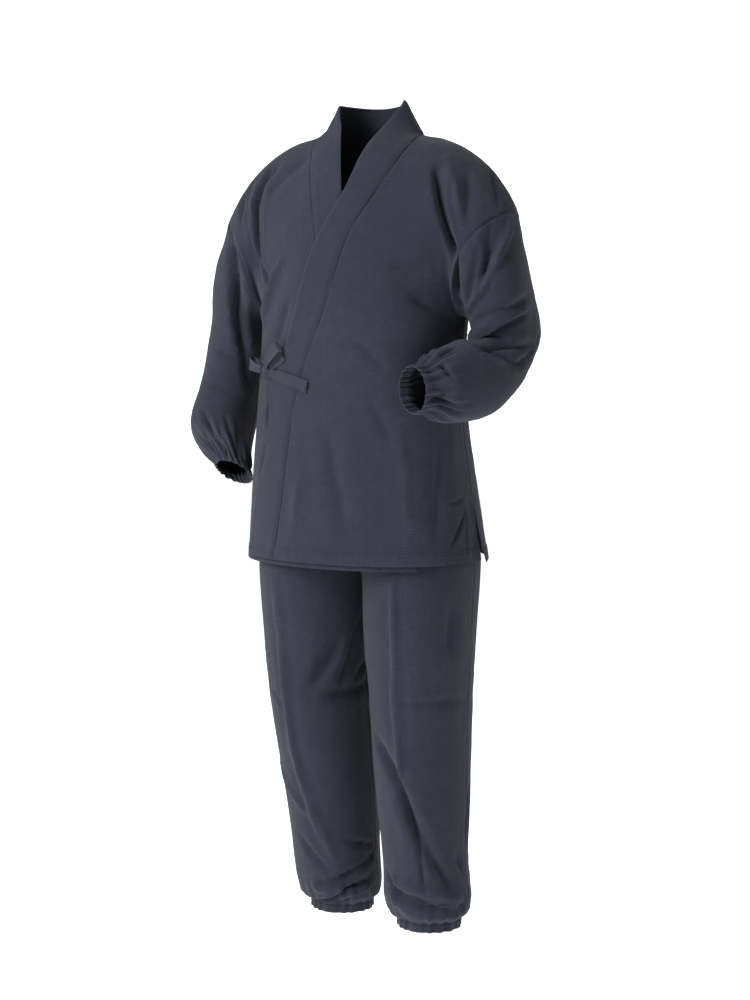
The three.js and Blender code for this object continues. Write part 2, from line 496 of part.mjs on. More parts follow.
// ---------------------------------------------------------------- sleeves
function tube(rows, u, v) {
  const at = (col, shift = 0) => look(rows, 'v', v + shift, col);
  const turn = 2 * Math.PI * u;
  const c = [at('cx'), at('cy'), at('cz')];
  const half = [at('hx'), at('hy'), at('hz')];
  if (v < 0.1) {
    const side = rows === SLEEVES.left ? 1 : -1;
    const low = ring(side, UNDERARM, -1);
    const high = shoulder(side);
    const k = 1 - ease(v / 0.1);
    for (let i = 0; i < 3; i += 1) {
      const sign = i ? 1 : side;
      c[i] = mix(c[i], sign * (low[i] + high[i]) / 2, k);
      half[i] = mix(half[i], sign * (high[i] - low[i]) / 2, k);
    }
  }
  const way = ['cx', 'cy', 'cz'].map((col) => at(col, 0.02) - at(col, -0.02));
  const front = unit(blend([0, -1, 0], unit(cross(unit(way), unit(half))), ease(v / 0.16)));
  const open = Math.cos(turn) ** 2 * (1 - ease(v / 0.3));
  const square = 0.05 * ease(v / 0.3) * (1 - ease((v - 0.85) / 0.1));
  const full = 1 + square * Math.sin(2 * turn) ** 2;
  const wide = full * Math.sin(turn);
  const deep = full * at('d') * Math.cos(turn);
  return c.map((x, k) => x + half[k] * wide + front[k] * deep + [-18, 0, 15][k] * open);
}

// u round the sleeve (0 in front, a quarter on top), v from armhole to wrist
function sleeve(side, u, v) {
  const rows = side > 0 ? SLEEVES.left : SLEEVES.right;
  const base = (a, b) => tube(rows, a, b);
  const flat = base(u, v);
  const wave = Math.cos(2 * Math.PI * SLEEVE_GATHERS * u) * 2 * ease((v - 0.86) / 0.1);
  const fold = relief([side * flat[0], flat[1], flat[2]], 'arm') * ease((v - 0.02) / 0.1);
  const p = add(flat, normalOf(base, u, v), -wave - fold);
  return [side * p[0], p[1], p[2]];
}

// ---------------------------------------------------------------- trousers
// t round the leg (0 outer side, half a turn at the inner side), u 0 to 1 over one panel
function legOval(side, t, z) {
  const rows = side > 0 ? LEGS.left : LEGS.right;
  const at = (col) => look(rows, 'z', z, col);
  return [side * (at('cx') + at('a') * Math.cos(t)), at('cy') - at('b') * Math.sin(t), z];
}

function legEnd(side, z) {
  const rows = side > 0 ? LEGS.left : LEGS.right;
  return Math.acos(clamp((SEAM_GAP / 2 - look(rows, 'z', z, 'cx')) / look(rows, 'z', z, 'a'), -1, 1));
}

function legSkin(side, t, z, share) {
  const flat = legOval(side, t, z);
  const n = unit(cross(
    sub(legOval(side, t + 0.004, z), legOval(side, t - 0.004, z)),
    sub(legOval(side, t, z - 1), legOval(side, t, z + 1)),
  ));
  const out = add(flat, n, -side);
  const foot = side > 0 ? LEGS.left : LEGS.right;
  const ankle = Math.cos(LEG_GATHERS * t) * 2 * (1 - ease((z - foot[1].z - 12) / 45));
  const waist = Math.cos(2 * Math.PI * WAIST_GATHERS * 0.25 * share) * 2.2 * ease((z - 900) / 60);
  const k = ankle + waist + relief(flat, 'leg') * ease((z - foot[2].z) / 12);
  const p = add(flat, sub(flat, out), -k);
  p[0] = side * Math.max(SEAM_GAP / 2, side * p[0]);
  return p;
}

const LEG_ROWS = [976, 945, 910, 870, 830, 790, 755, 722, 691, 650, 590, 520, 440, 350, 270, 215, 178];

function legHeights(side) {
  const foot = side > 0 ? LEGS.left : LEGS.right;
  return [...LEG_ROWS, foot[3].z, foot[2].z, foot[1].z + 2, foot[0].z];
}

// ---------------------------------------------------------------- sheets of cloth
// at(u, v) gives the outer face; us and vs are the stations of its grid
function sheet(name, at, us, vs, options = {}) {
  const { wall = WALL, loop = false, flip = 1, du = 0.003, dv = 0.003, inset = '', rim } = options;
  const nu = us.length;
  const nv = vs.length;
  const outer = [];
  const inner = [];
  for (let j = 0; j < nv; j += 1) {
    for (let i = 0; i < nu; i += 1) {
      const [u, v] = [us[i], vs[j]];
      const across = sub(at(u + du, v), at(u - du, v));
      const along = sub(at(u, v + dv), at(u, v - dv));
      const own = unit(cross(across, along)).map((x) => x * flip);
      const n = (rim && rim(u, v, i, j)) || own;
      const p = at(u, v);
      outer.push(p);
      inner.push(add(p, n, -wall));
    }
  }
  const id = (i, j) => j * nu + (loop ? (i + nu) % nu : i);
  const shift = outer.map(() => [0, 0, 0]);
  const draw = (i, j, k, l) => {
    const way = unit(sub(outer[id(k, l)], outer[id(i, j)]));
    shift[id(i, j)] = add(shift[id(i, j)], way, SEAM_GAP / 2);
  };
  for (let j = 0; j < nv; j += 1) {
    if (inset.includes('a')) draw(0, j, 1, j);
    if (inset.includes('b')) draw(nu - 1, j, nu - 2, j);
  }
  for (let i = 0; i < nu; i += 1) {
    if (inset.includes('c')) draw(i, 0, i, 1);
    if (inset.includes('d')) draw(i, nv - 1, i, nv - 2);
  }
  const all = [...outer.map((p, i) => add(p, shift[i])), ...inner.map((p, i) => add(p, shift[i]))];
  if (options.after) options.after(all, nu, nv);
  const triangles = [];
  const low = nu * nv;
  const quad = (a, b, c, d) => {
    const long = Math.hypot(...sub(all[a], all[c])) > Math.hypot(...sub(all[b], all[d]));
    if (long) triangles.push([a, b, d], [b, c, d]);
    else triangles.push([a, b, c], [a, c, d]);
  };
  const cells = loop ? nu : nu - 1;
  for (let j = nv - 2; j >= 0; j -= 1) {
    for (let i = 0; i < cells; i += 1) {
      const [a, b, c, d] = [id(i, j), id(i + 1, j), id(i + 1, j + 1), id(i, j + 1)];
      quad(a, b, c, d);
      quad(low + d, low + c, low + b, low + a);
    }
  }
  for (let i = 0; i < cells; i += 1) {
    quad(id(i, 0), low + id(i, 0), low + id(i + 1, 0), id(i + 1, 0));
    quad(id(i + 1, nv - 1), low + id(i + 1, nv - 1), low + id(i, nv - 1), id(i, nv - 1));
  }
  if (!loop) {
    for (let j = 0; j < nv - 1; j += 1) {
      quad(id(0, j + 1), low + id(0, j + 1), low + id(0, j), id(0, j));
      quad(id(nu - 1, j), low + id(nu - 1, j), low + id(nu - 1, j + 1), id(nu - 1, j + 1));
    }
  }
  let volume = 0;
  for (const [a, b, c] of triangles) volume += dot(all[a], cross(all[b], all[c]));
  if (volume < 0) triangles.forEach((t) => t.reverse());
  return indexMesh(name, all, triangles);
}

// points are kept on a grid of 1/64 mm, so that neighbouring faces share them exactly
function indexMesh(name, vertices, triangles) {
  const snap = (value) => Math.round(value * 64) / 64;
  const geometry = new THREE.BufferGeometry();
  const flat = new Float32Array(vertices.length * 3);
  vertices.forEach((p, i) => {
    flat[i * 3] = snap(p[0] - ORIGIN.x);
    flat[i * 3 + 1] = snap(p[1] - ORIGIN.y);
    flat[i * 3 + 2] = snap(p[2] - ORIGIN.z);
  });
  geometry.setAttribute('position', new THREE.BufferAttribute(flat, 3));
  geometry.setIndex(triangles.flat());
  geometry.computeVertexNormals();
  const mesh = new THREE.Mesh(geometry, new THREE.MeshStandardMaterial({
    color: 0x3b3f4b,
    roughness: 0.9,
    metalness: 0,
  }));
  mesh.name = name;
  return mesh;
}

const steps = (n, from = 0, to = 1) => Array.from({ length: n + 1 }, (_, i) => mix(from, to, i / n));

// heights of the rows of a jacket panel, up from its hem
function panelRows(hem) {
  return [...steps(ROWS.skirt, hem, UNDERARM), ...steps(ROWS.yoke, UNDERARM, TOP).slice(1)];
}

// folds fade out at the armholes, where the sleeves are set in
function calm(p) {
  if (Math.abs(p[0]) < 110) return 1;
  const side = p[0] < 0 ? -1 : 1;
  const face = p[1] < 10 ? -1 : 1;
  const gaps = steps(16).map((w) => Math.hypot(...sub(p, armhole(side, w, face))));
  return ease((Math.min(...gaps) - 9) / 36);
}

// folds laid over a surface; k is the side its outer face is on
function folded(base, k, du, dv) {
  return (u, v) => {
    const n = unit(cross(
      sub(base(u + du, v), base(u - du, v)),
      sub(base(u, v + dv), base(u, v - dv)),
    ));
    const p = base(u, v);
    return add(p, n, k * relief(p, 'body') * calm(p));
  };
}

// the direction shared by the panels and the sleeve where they are sewn at the armhole
function armholeNormal(side, w, face) {
  const panel = (f) => {
    const at = (s, q) => torso(side * s, q, f);
    const q = clamp(mix(UNDERARM, TOP, w), UNDERARM + 1, TOP - 1);
    const n = unit(cross(sub(at(1, q), at(0.99, q)), sub(at(1, q + 1), at(1, q - 1))));
    return n.map((x) => -x * side * f);
  };
  const both = w < 0.01 || w > 0.99;
  const flat = both ? unit(add(panel(-1), panel(1))) : panel(face);
  const u = face < 0 ? w / 2 - 0.25 : 0.75 - w / 2;
  const at = (a, b) => sleeve(side, a, b);
  const own = unit(cross(sub(at(u + 0.003, 0), at(u - 0.003, 0)), sub(at(u, 0.07), at(u, 0))));
  const arm = own.map((x) => -x * side);
  return unit(add(flat, arm));
}

// a strap of the bow: u across its width, v along it
function strap(rows, pinch) {
  const at = (v, col) => look(rows, 'v', v, col);
  const place = (v) => frontSkin(1, at(v, 's'), at(v, 'q'), at(v, 'off'));
  const far = rows.length > 4 ? 0.5 : 1;
  const middle = [at(far / 2, 's'), at(far / 2, 'q')];
  const off = sub(frontSkin(1, ...middle, 1), frontSkin(1, ...middle, 0));
  const side = unit(cross(off, sub(place(far), place(0))));
  const drawn = (v) => {
    const start = pinch[0] * (1 - ease(v / 0.35));
    const end = pinch[1] * (1 - ease((1 - v) / 0.35));
    return 1 - 0.42 * Math.max(start, end);
  };
  return (u, v) => add(place(v), side, (u - 0.5) * TIE_WIDTH * drawn(v));
}

// the knot, a rounded lump set along the strap that leaves it
function knot() {
  const middle = frontSkin(1, KNOT.s, KNOT.q, KNOT.off);
  const up = unit(sub(frontSkin(1, KNOT.s, KNOT.q, 1), frontSkin(1, KNOT.s, KNOT.q, 0)));
  const way = unit(sub(frontSkin(1, KNOT.s + 0.03, KNOT.q - 3), frontSkin(1, KNOT.s - 0.03, KNOT.q + 3)));
  const side = cross(up, way);
  const [around, over] = [12, 7];
  const vertices = [];
  for (let j = 1; j < over; j += 1) {
    for (let i = 0; i < around; i += 1) {
      const a = 2 * Math.PI * i / around;
      const b = Math.PI * j / over;
      const r = Math.sin(b) ** 0.8;
      let p = add(middle, way, KNOT.along * r * Math.cos(a));
      p = add(p, up, KNOT.thick * r * Math.sin(a));
      vertices.push(add(p, side, KNOT.across * Math.cos(b) * (1 - 0.12 * Math.cos(2 * a))));
    }
  }
  vertices.push(add(middle, side, KNOT.across * 0.9), add(middle, side, -KNOT.across * 0.9));
  const [first, last] = [vertices.length - 2, vertices.length - 1];
  const triangles = [];
  const id = (i, j) => j * around + (i % around);
  for (let i = 0; i < around; i += 1) {
    triangles.push([first, id(i, 0), id(i + 1, 0)], [last, id(i + 1, over - 2), id(i, over - 2)]);
    for (let j = 0; j < over - 2; j += 1) {
      triangles.push([id(i, j), id(i, j + 1), id(i + 1, j + 1)]);
      triangles.push([id(i, j), id(i + 1, j + 1), id(i + 1, j)]);
    }
  }
  let volume = 0;
  for (const [a, b, c] of triangles) volume += dot(vertices[a], cross(vertices[b], vertices[c]));
  if (volume < 0) triangles.forEach((t) => t.reverse());
  return indexMesh('tie_knot', vertices, triangles);
}

function build() {
  const set = new THREE.Group();
  set.name = 'samue';
  const sleeveTurns = steps(COLUMNS.sleeve).slice(0, -1);
  for (const side of [1, -1]) {
    const hand = side > 0 ? 'left' : 'right';
    const collarRows = side > 0 ? COLLARS.left : COLLARS.right;
    const front = folded((u, q) => {
      const s = mix(look(collarRows, 'q', q, 'seam'), side, u);
      return frontSkin(side, s, q);
    }, side, 0.003, 1);
    set.add(sheet(`front_${hand}`, front, steps(COLUMNS.front), panelRows(HEM[hand]), {
      flip: side,
      dv: 1,
      inset: 'abd',
      rim: (u, q) => {
        if (u < 0.999 || q < UNDERARM - 0.5) return null;
        return armholeNormal(side, (q - UNDERARM) / UPPER, -1);
      },
    }));
    const after = (all, nu, nv) => {
      for (let i = 0; i < nu; i += 1) {
        const low = 1 - ease(Math.abs(i / nu - 0.75) / 0.1);
        const way = unit(add(unit(sub(all[i + nu], all[i])), [side * 0.9, 0, -0.43]));
        for (const k of [0, nu * nv]) all[k + i] = add(all[k + i], way, HEAD_STEP * (1 + 3 * low));
      }
      for (let i = 1; i < nu; i += 2) {
        for (const k of [0, nu * nv]) {
          all[k + i] = blend(all[k + i - 1], all[k + (i + 1) % nu], 0.5);
        }
      }
    };
    set.add(sheet(`sleeve_${hand}`, (u, v) => sleeve(side, u, v), sleeveTurns,
      [0, 0.07, 0.15, 0.24, 0.33, 0.42, 0.5, 0.58, 0.67, 0.76, 0.84, 0.89, 0.93, 0.96, 1], {
        loop: true,
        flip: -side,
        inset: 'c',
        after,
        rim: (u, v) => {
          if (v > 0) return null;
          const turn = (u + 0.25) % 1;
          return turn <= 0.5 ? armholeNormal(side, turn * 2, -1) : armholeNormal(side, 2 - turn * 2, 1);
        },
      }));
    for (const face of [-1, 1]) {
      const at = (u, z) => legSkin(side, -face * u * legEnd(side, z), z, u);
      const name = `trousers_${face < 0 ? 'front' : 'back'}_${hand}`;
      set.add(sheet(name, at, steps(COLUMNS.leg), legHeights(side), {
        flip: -side * face,
        dv: -1,
        inset: 'abc',
      }));
    }
  }
  const neck = [
    ...steps(COLUMNS.shoulder, 0, 1 / 3).slice(0, -1),
    ...steps(COLUMNS.neck, 1 / 3, 2 / 3),
    ...steps(COLUMNS.shoulder, 2 / 3, 1).slice(1),
  ];
  const rows = ROWS.skirt + ROWS.yoke;
  const backAt = folded(backPanel, -1, 0.003, 0.02);
  set.add(sheet('back', backAt, neck, steps(rows, 0, rows), {
    flip: -1,
    dv: 0.02,
    inset: 'abd',
    rim: (u, row) => {
      const w = (row - ROWS.skirt) / ROWS.yoke;
      if (w < -0.001 || (u > 0.001 && u < 0.999)) return null;
      return armholeNormal(u < 0.5 ? -1 : 1, clamp(w, 0, 1), 1);
    },
  }));
  const up = panelRows(HEM.left).map((q) => (q - HEM.left) / (TOP - HEM.left));
  const down = panelRows(HEM.right).map((q) => 2 + (TOP - q) / (TOP - HEM.right)).reverse();
  const round = steps(COLUMNS.neck, 1, 2).slice(1, -1);
  const run = [...up, ...round, ...down];
  set.add(sheet('collar', folded(collar, -1, 0.01, 0.002), steps(COLUMNS.band), run, {
    wall: BAND_WALL,
    flip: -1,
    inset: 'a',
  }));
  const waist = (u, z) => {
    const side = u < 0.5 ? 1 : -1;
    const share = (u < 0.5 ? u : u - 0.5) * 4 - 1;
    const end = Math.acos(clamp(-look(LEGS.left, 'z', z, 'cx') / look(LEGS.left, 'z', z, 'a'), -1, 1));
    const t = side * share * end;
    const p = legOval(side, t, z);
    const out = unit([p[0], p[1] - 5, 0]);
    return add(p, out, Math.cos(2 * Math.PI * WAIST_GATHERS * 0.25 * share) * 2.2);
  };
  set.add(sheet('waistband', waist, steps(COLUMNS.waist).slice(0, -1),
    [WAISTBAND.low + SEAM_GAP / 2, (WAISTBAND.low + WAISTBAND.high) / 2, WAISTBAND.high], {
      loop: true,
      wall: 2.4,
      dv: 1,
      flip: -1,
    }));
  for (const [name, rows] of Object.entries(TIES)) {
    const count = rows.length > 4 ? 14 : 7;
    set.add(sheet(name, strap(rows, TIE_PINCH[name]), [0, 1], steps(count), {
      wall: TIE_WALL,
      du: 0.05,
      flip: -1,
    }));
  }
  set.add(knot());
  return set;
}

export default build();
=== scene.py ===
# Samue: a wrapped jacket and elastic-cuffed trousers in dark indigo slub cotton, kept in the
# hollow form they hang in when worn. Each cut piece is a thin closed shell on the form of its
# CAD node. Tables are in millimetres above the ground, front -Y, the wearer's left +X.
import math

import bpy
import numpy as np
from mathutils import Matrix


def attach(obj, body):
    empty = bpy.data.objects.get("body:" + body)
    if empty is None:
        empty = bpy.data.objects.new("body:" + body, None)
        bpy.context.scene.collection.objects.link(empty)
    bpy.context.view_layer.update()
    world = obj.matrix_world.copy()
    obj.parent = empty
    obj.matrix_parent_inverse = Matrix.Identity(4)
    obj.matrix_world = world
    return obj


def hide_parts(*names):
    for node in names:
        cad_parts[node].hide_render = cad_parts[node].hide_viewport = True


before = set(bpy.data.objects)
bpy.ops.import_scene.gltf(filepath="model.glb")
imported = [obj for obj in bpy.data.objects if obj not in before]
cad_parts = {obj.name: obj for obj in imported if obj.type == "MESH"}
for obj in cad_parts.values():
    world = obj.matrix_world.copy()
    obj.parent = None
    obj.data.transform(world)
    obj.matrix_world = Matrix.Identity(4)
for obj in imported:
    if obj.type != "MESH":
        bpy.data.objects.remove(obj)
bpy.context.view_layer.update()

ORIGIN = np.array([0.0, 20.0, 1345.0])  # middle of the neck opening, the mount
WALL, BAND_WALL, WAIST_WALL, TIE_WALL = 1.3, 2.5, 2.0, 1.5  # thickness of the cloth as drawn
HEM = {1: 704, -1: 696, 0: 701}  # heights of the jacket hems: left, right, back
UNDERARM, UPPER = 1090, 280  # height of the armpit, and from there to the shoulder
TOP = UNDERARM + UPPER
SLIT = 806  # top of the side slits
SHOULDER_END, SHOULDER_Y = 246, 10  # where the shoulder line ends at each side, and runs
HOLE_IN, HOLE_OUT, HOLE_UP = 18, 80, 15  # bulge of the armhole: towards the neck, front and back, up
LAP_LIFT, SQUARE = 6, 0.035  # the left front stands off the right; how square the body is
NECK_S, NAPE = 0.345, 0.275  # half width and dip of the neck's edge, as shares of the body
NECK_BACK, NECK_DROP = 66, 8  # the band's free edge behind the neck: how far back, how far down
SLEEVE_GATHERS, LEG_GATHERS, WAIST_GATHERS = 20, 16, 22
TIE_WIDTH = 19
WIDE_HEM, SLIT_HEM = 20, 9  # depth of the turned hems
HEM_STITCH, SLIT_STITCH, BAND_STITCH = 17.8, 7.2, 3.6  # how far in from the edge these are sewn
STITCH, TIE_STITCH = 3.4, 2.8  # length of a stitch with its gap
CUFF, ANKLE = 11, 12  # depth of the elastic's tunnel
HIP, KNEE, SHIN = 930, 480, 215  # heights on the trousers
WAIST_LOW, WAIST_HIGH = 976, 1006  # the waistband
INSEAM = 0.15  # the legs stop this short of the middle


# named columns of numbers; a row may leave out the zeros at its end
def table(names, rows):
    names = names.split()
    rows = [row + (0,) * (len(names) - len(row)) for row in rows]
    return dict(zip(names, np.array(rows, float).T))


TORSO = table("z mid half front back", [
    (640, -1, 204, 150, 148), (760, -6, 193, 142, 144), (850, -10, 183, 137, 139),
    (940, -12, 174, 131, 126), (1000, -11, 170, 129, 119), (1090, -5, 169, 135, 118),
])
SHOULDER = table("x z", [
    (0, 1402), (45, 1394), (86, 1375), (122, 1368), (150, 1358), (176, 1343), (203, 1321),
    (226, 1292), (237, 1274), (246, 1256),
])
SLEEVES = {
    1: table("v cx cy cz hx hy hz d", [
        (0.0, 205, 5, 1173, 41, 5, 83, 80), (0.1, 214, 8, 1154, 41, 6, 65, 80),
        (0.2, 220, 13, 1125, 44, 5, 52, 80), (0.32, 224, 19, 1089, 47, 4, 35, 77),
        (0.44, 227, 19, 1063, 48, 2, 19, 71), (0.54, 226, -1, 1027, 47, -4, 10, 50),
        (0.64, 219, -27, 1009, 47, -10, 5, 54), (0.75, 206, -56, 998, 47, -15, 5, 63),
        (0.86, 188, -97, 990, 45, -17, 3, 60), (0.92, 172, -126, 987, 42, -18, 2, 54),
        (0.96, 159, -142, 985, 31, -15, 1, 38), (1.0, 147, -157, 984, 29, -15, 1, 36),
    ]),
    -1: table("v cx cy cz hx hy hz d", [
        (0.0, 210, 5, 1167, 36, 5, 77, 80), (0.1, 215, 8, 1146, 34, 6, 61, 80),
        (0.2, 222, 12, 1114, 38, 5, 47, 78), (0.32, 230, 17, 1068, 43, 3, 28, 73),
        (0.44, 242, 19, 1025, 46, 1, 14, 70), (0.55, 251, 16, 985, 47, -2, 8, 68),
        (0.66, 258, 6, 945, 48, -5, 6, 67), (0.77, 262, -9, 908, 50, -6, 6, 66),
        (0.87, 257, -27, 878, 50, -6, 8, 62), (0.93, 243, -38, 858, 44, -5, 9, 53),
        (0.965, 230, -45, 844, 32, -4, 8, 38), (1.0, 220, -51, 831, 30, -4, 8, 36),
    ]),
}
HIPS = [
    (690, 92, 2, 91.5, 118), (730, 83, 6, 95, 117), (780, 68, 5.6, 100, 116),
    (850, 50, 5.4, 109, 113), (900, 38, 1, 114, 108), (940, 30, 1, 116, 103), (976, 27, 1, 112, 99),
    (1010, 27, 1, 112, 99),
]
LEGS = {
    1: table("z cx cy a b", [
        (98, 110, -4, 50, 49), (116, 110, -4, 51, 50), (127, 109, -4, 62, 61),
        (146, 108, -4, 70, 72), (180, 105, -3, 69, 75), (225, 102, -2, 68, 79),
        (300, 98, 0, 73, 88), (467, 94, 0, 80, 100), (600, 92, 0, 88, 111),
    ] + HIPS),
    -1: table("z cx cy a b", [
        (98, 66, 36, 50, 49), (116, 66, 36, 51, 50), (127, 68, 36, 61, 61), (146, 71, 35, 69, 72),
        (180, 74, 33, 71, 76), (225, 76, 30, 72, 80), (300, 80, 25, 75, 88), (380, 86, 18, 78, 95),
        (467, 91, 11, 82, 101), (600, 92, 3, 88, 111),
    ] + HIPS),
}
COLLARS = {
    1: table("q seam edge sx sy sz", [
        (695, -0.345, -0.58), (780, -0.297, -0.525), (860, -0.262, -0.485), (921, -0.238, -0.455),
        (966, -0.212, -0.43), (1036, -0.134, -0.305), (1087, -0.062, -0.245), (1163, 0.028, -0.17),
        (1205, 0.09, -0.09), (1249, 0.21, 0.035), (1290, 0.295, 0.1, 0, 4, 6),
        (1330, 0.345, 0.17, -2, 13, 12), (1350, 0.35, 0.23, -7, 10, 19),
        (1370, 0.345, 0.28, -11, -10, 47),
    ]),
    -1: table("q seam edge sx sy sz", [
        (690, 0.3, 0.47), (800, 0.26, 0.43), (900, 0.2, 0.375), (1000, 0.12, 0.3),
        (1087, 0.03, 0.22), (1150, -0.04, 0.14), (1204, -0.113, 0.075), (1250, -0.19, 0.01),
        (1298, -0.272, -0.07, -4, 10, 14), (1330, -0.315, -0.16, 2, 14, 13),
        (1350, -0.34, -0.22, 6, 8, 17), (1370, -0.345, -0.28, 12, -12, 40),
    ]),
}
TIES = {
    "tie_tail": table("v s q off", [
        (0, -0.411, 1000, 5.6), (0.3, -0.33, 996, 4.3), (0.65, -0.22, 989, 3.7),
        (1, -0.116, 981, 4.1),
    ]),
    "tie_front": table("v s q off", [
        (0, -0.3, 1030, 3.3), (0.5, -0.355, 1020, 3.2), (1, -0.415, 1008, 3.2),
    ]),
    "tie_side": table("v s q off", [
        (0, -0.96, 1012, -3.7), (0.5, -0.72, 1010, -3.4), (1, -0.484, 1003, -1.4),
    ]),
    "tie_loop_long": table("v s q off", [
        (0, -0.488, 1003, 3), (0.25, -0.59, 1007, 2), (0.45, -0.7, 1010, 2.4),
        (0.55, -0.722, 1011, 6.4), (0.65, -0.69, 1011, 10.4), (0.8, -0.59, 1008, 10.6),
        (1, -0.475, 1004, 7.5),
    ]),
    "tie_loop_short": table("v s q off", [
        (0, -0.412, 1012, 5.9), (0.3, -0.368, 1027, 6.2), (0.47, -0.322, 1041, 7),
        (0.55, -0.311, 1043, 9.5), (0.65, -0.324, 1041, 12), (0.8, -0.368, 1029, 11.6),
        (1, -0.43, 1013, 9),
    ]),
}
HAND = {1: "left", -1: "right"}
# how much each strap is drawn together at its start and its end
TIE_PINCH = {"tie_tail": (1, 0), "tie_front": (0, 1), "tie_side": (0, 1),
             "tie_loop_long": (1, 1), "tie_loop_short": (1, 1)}
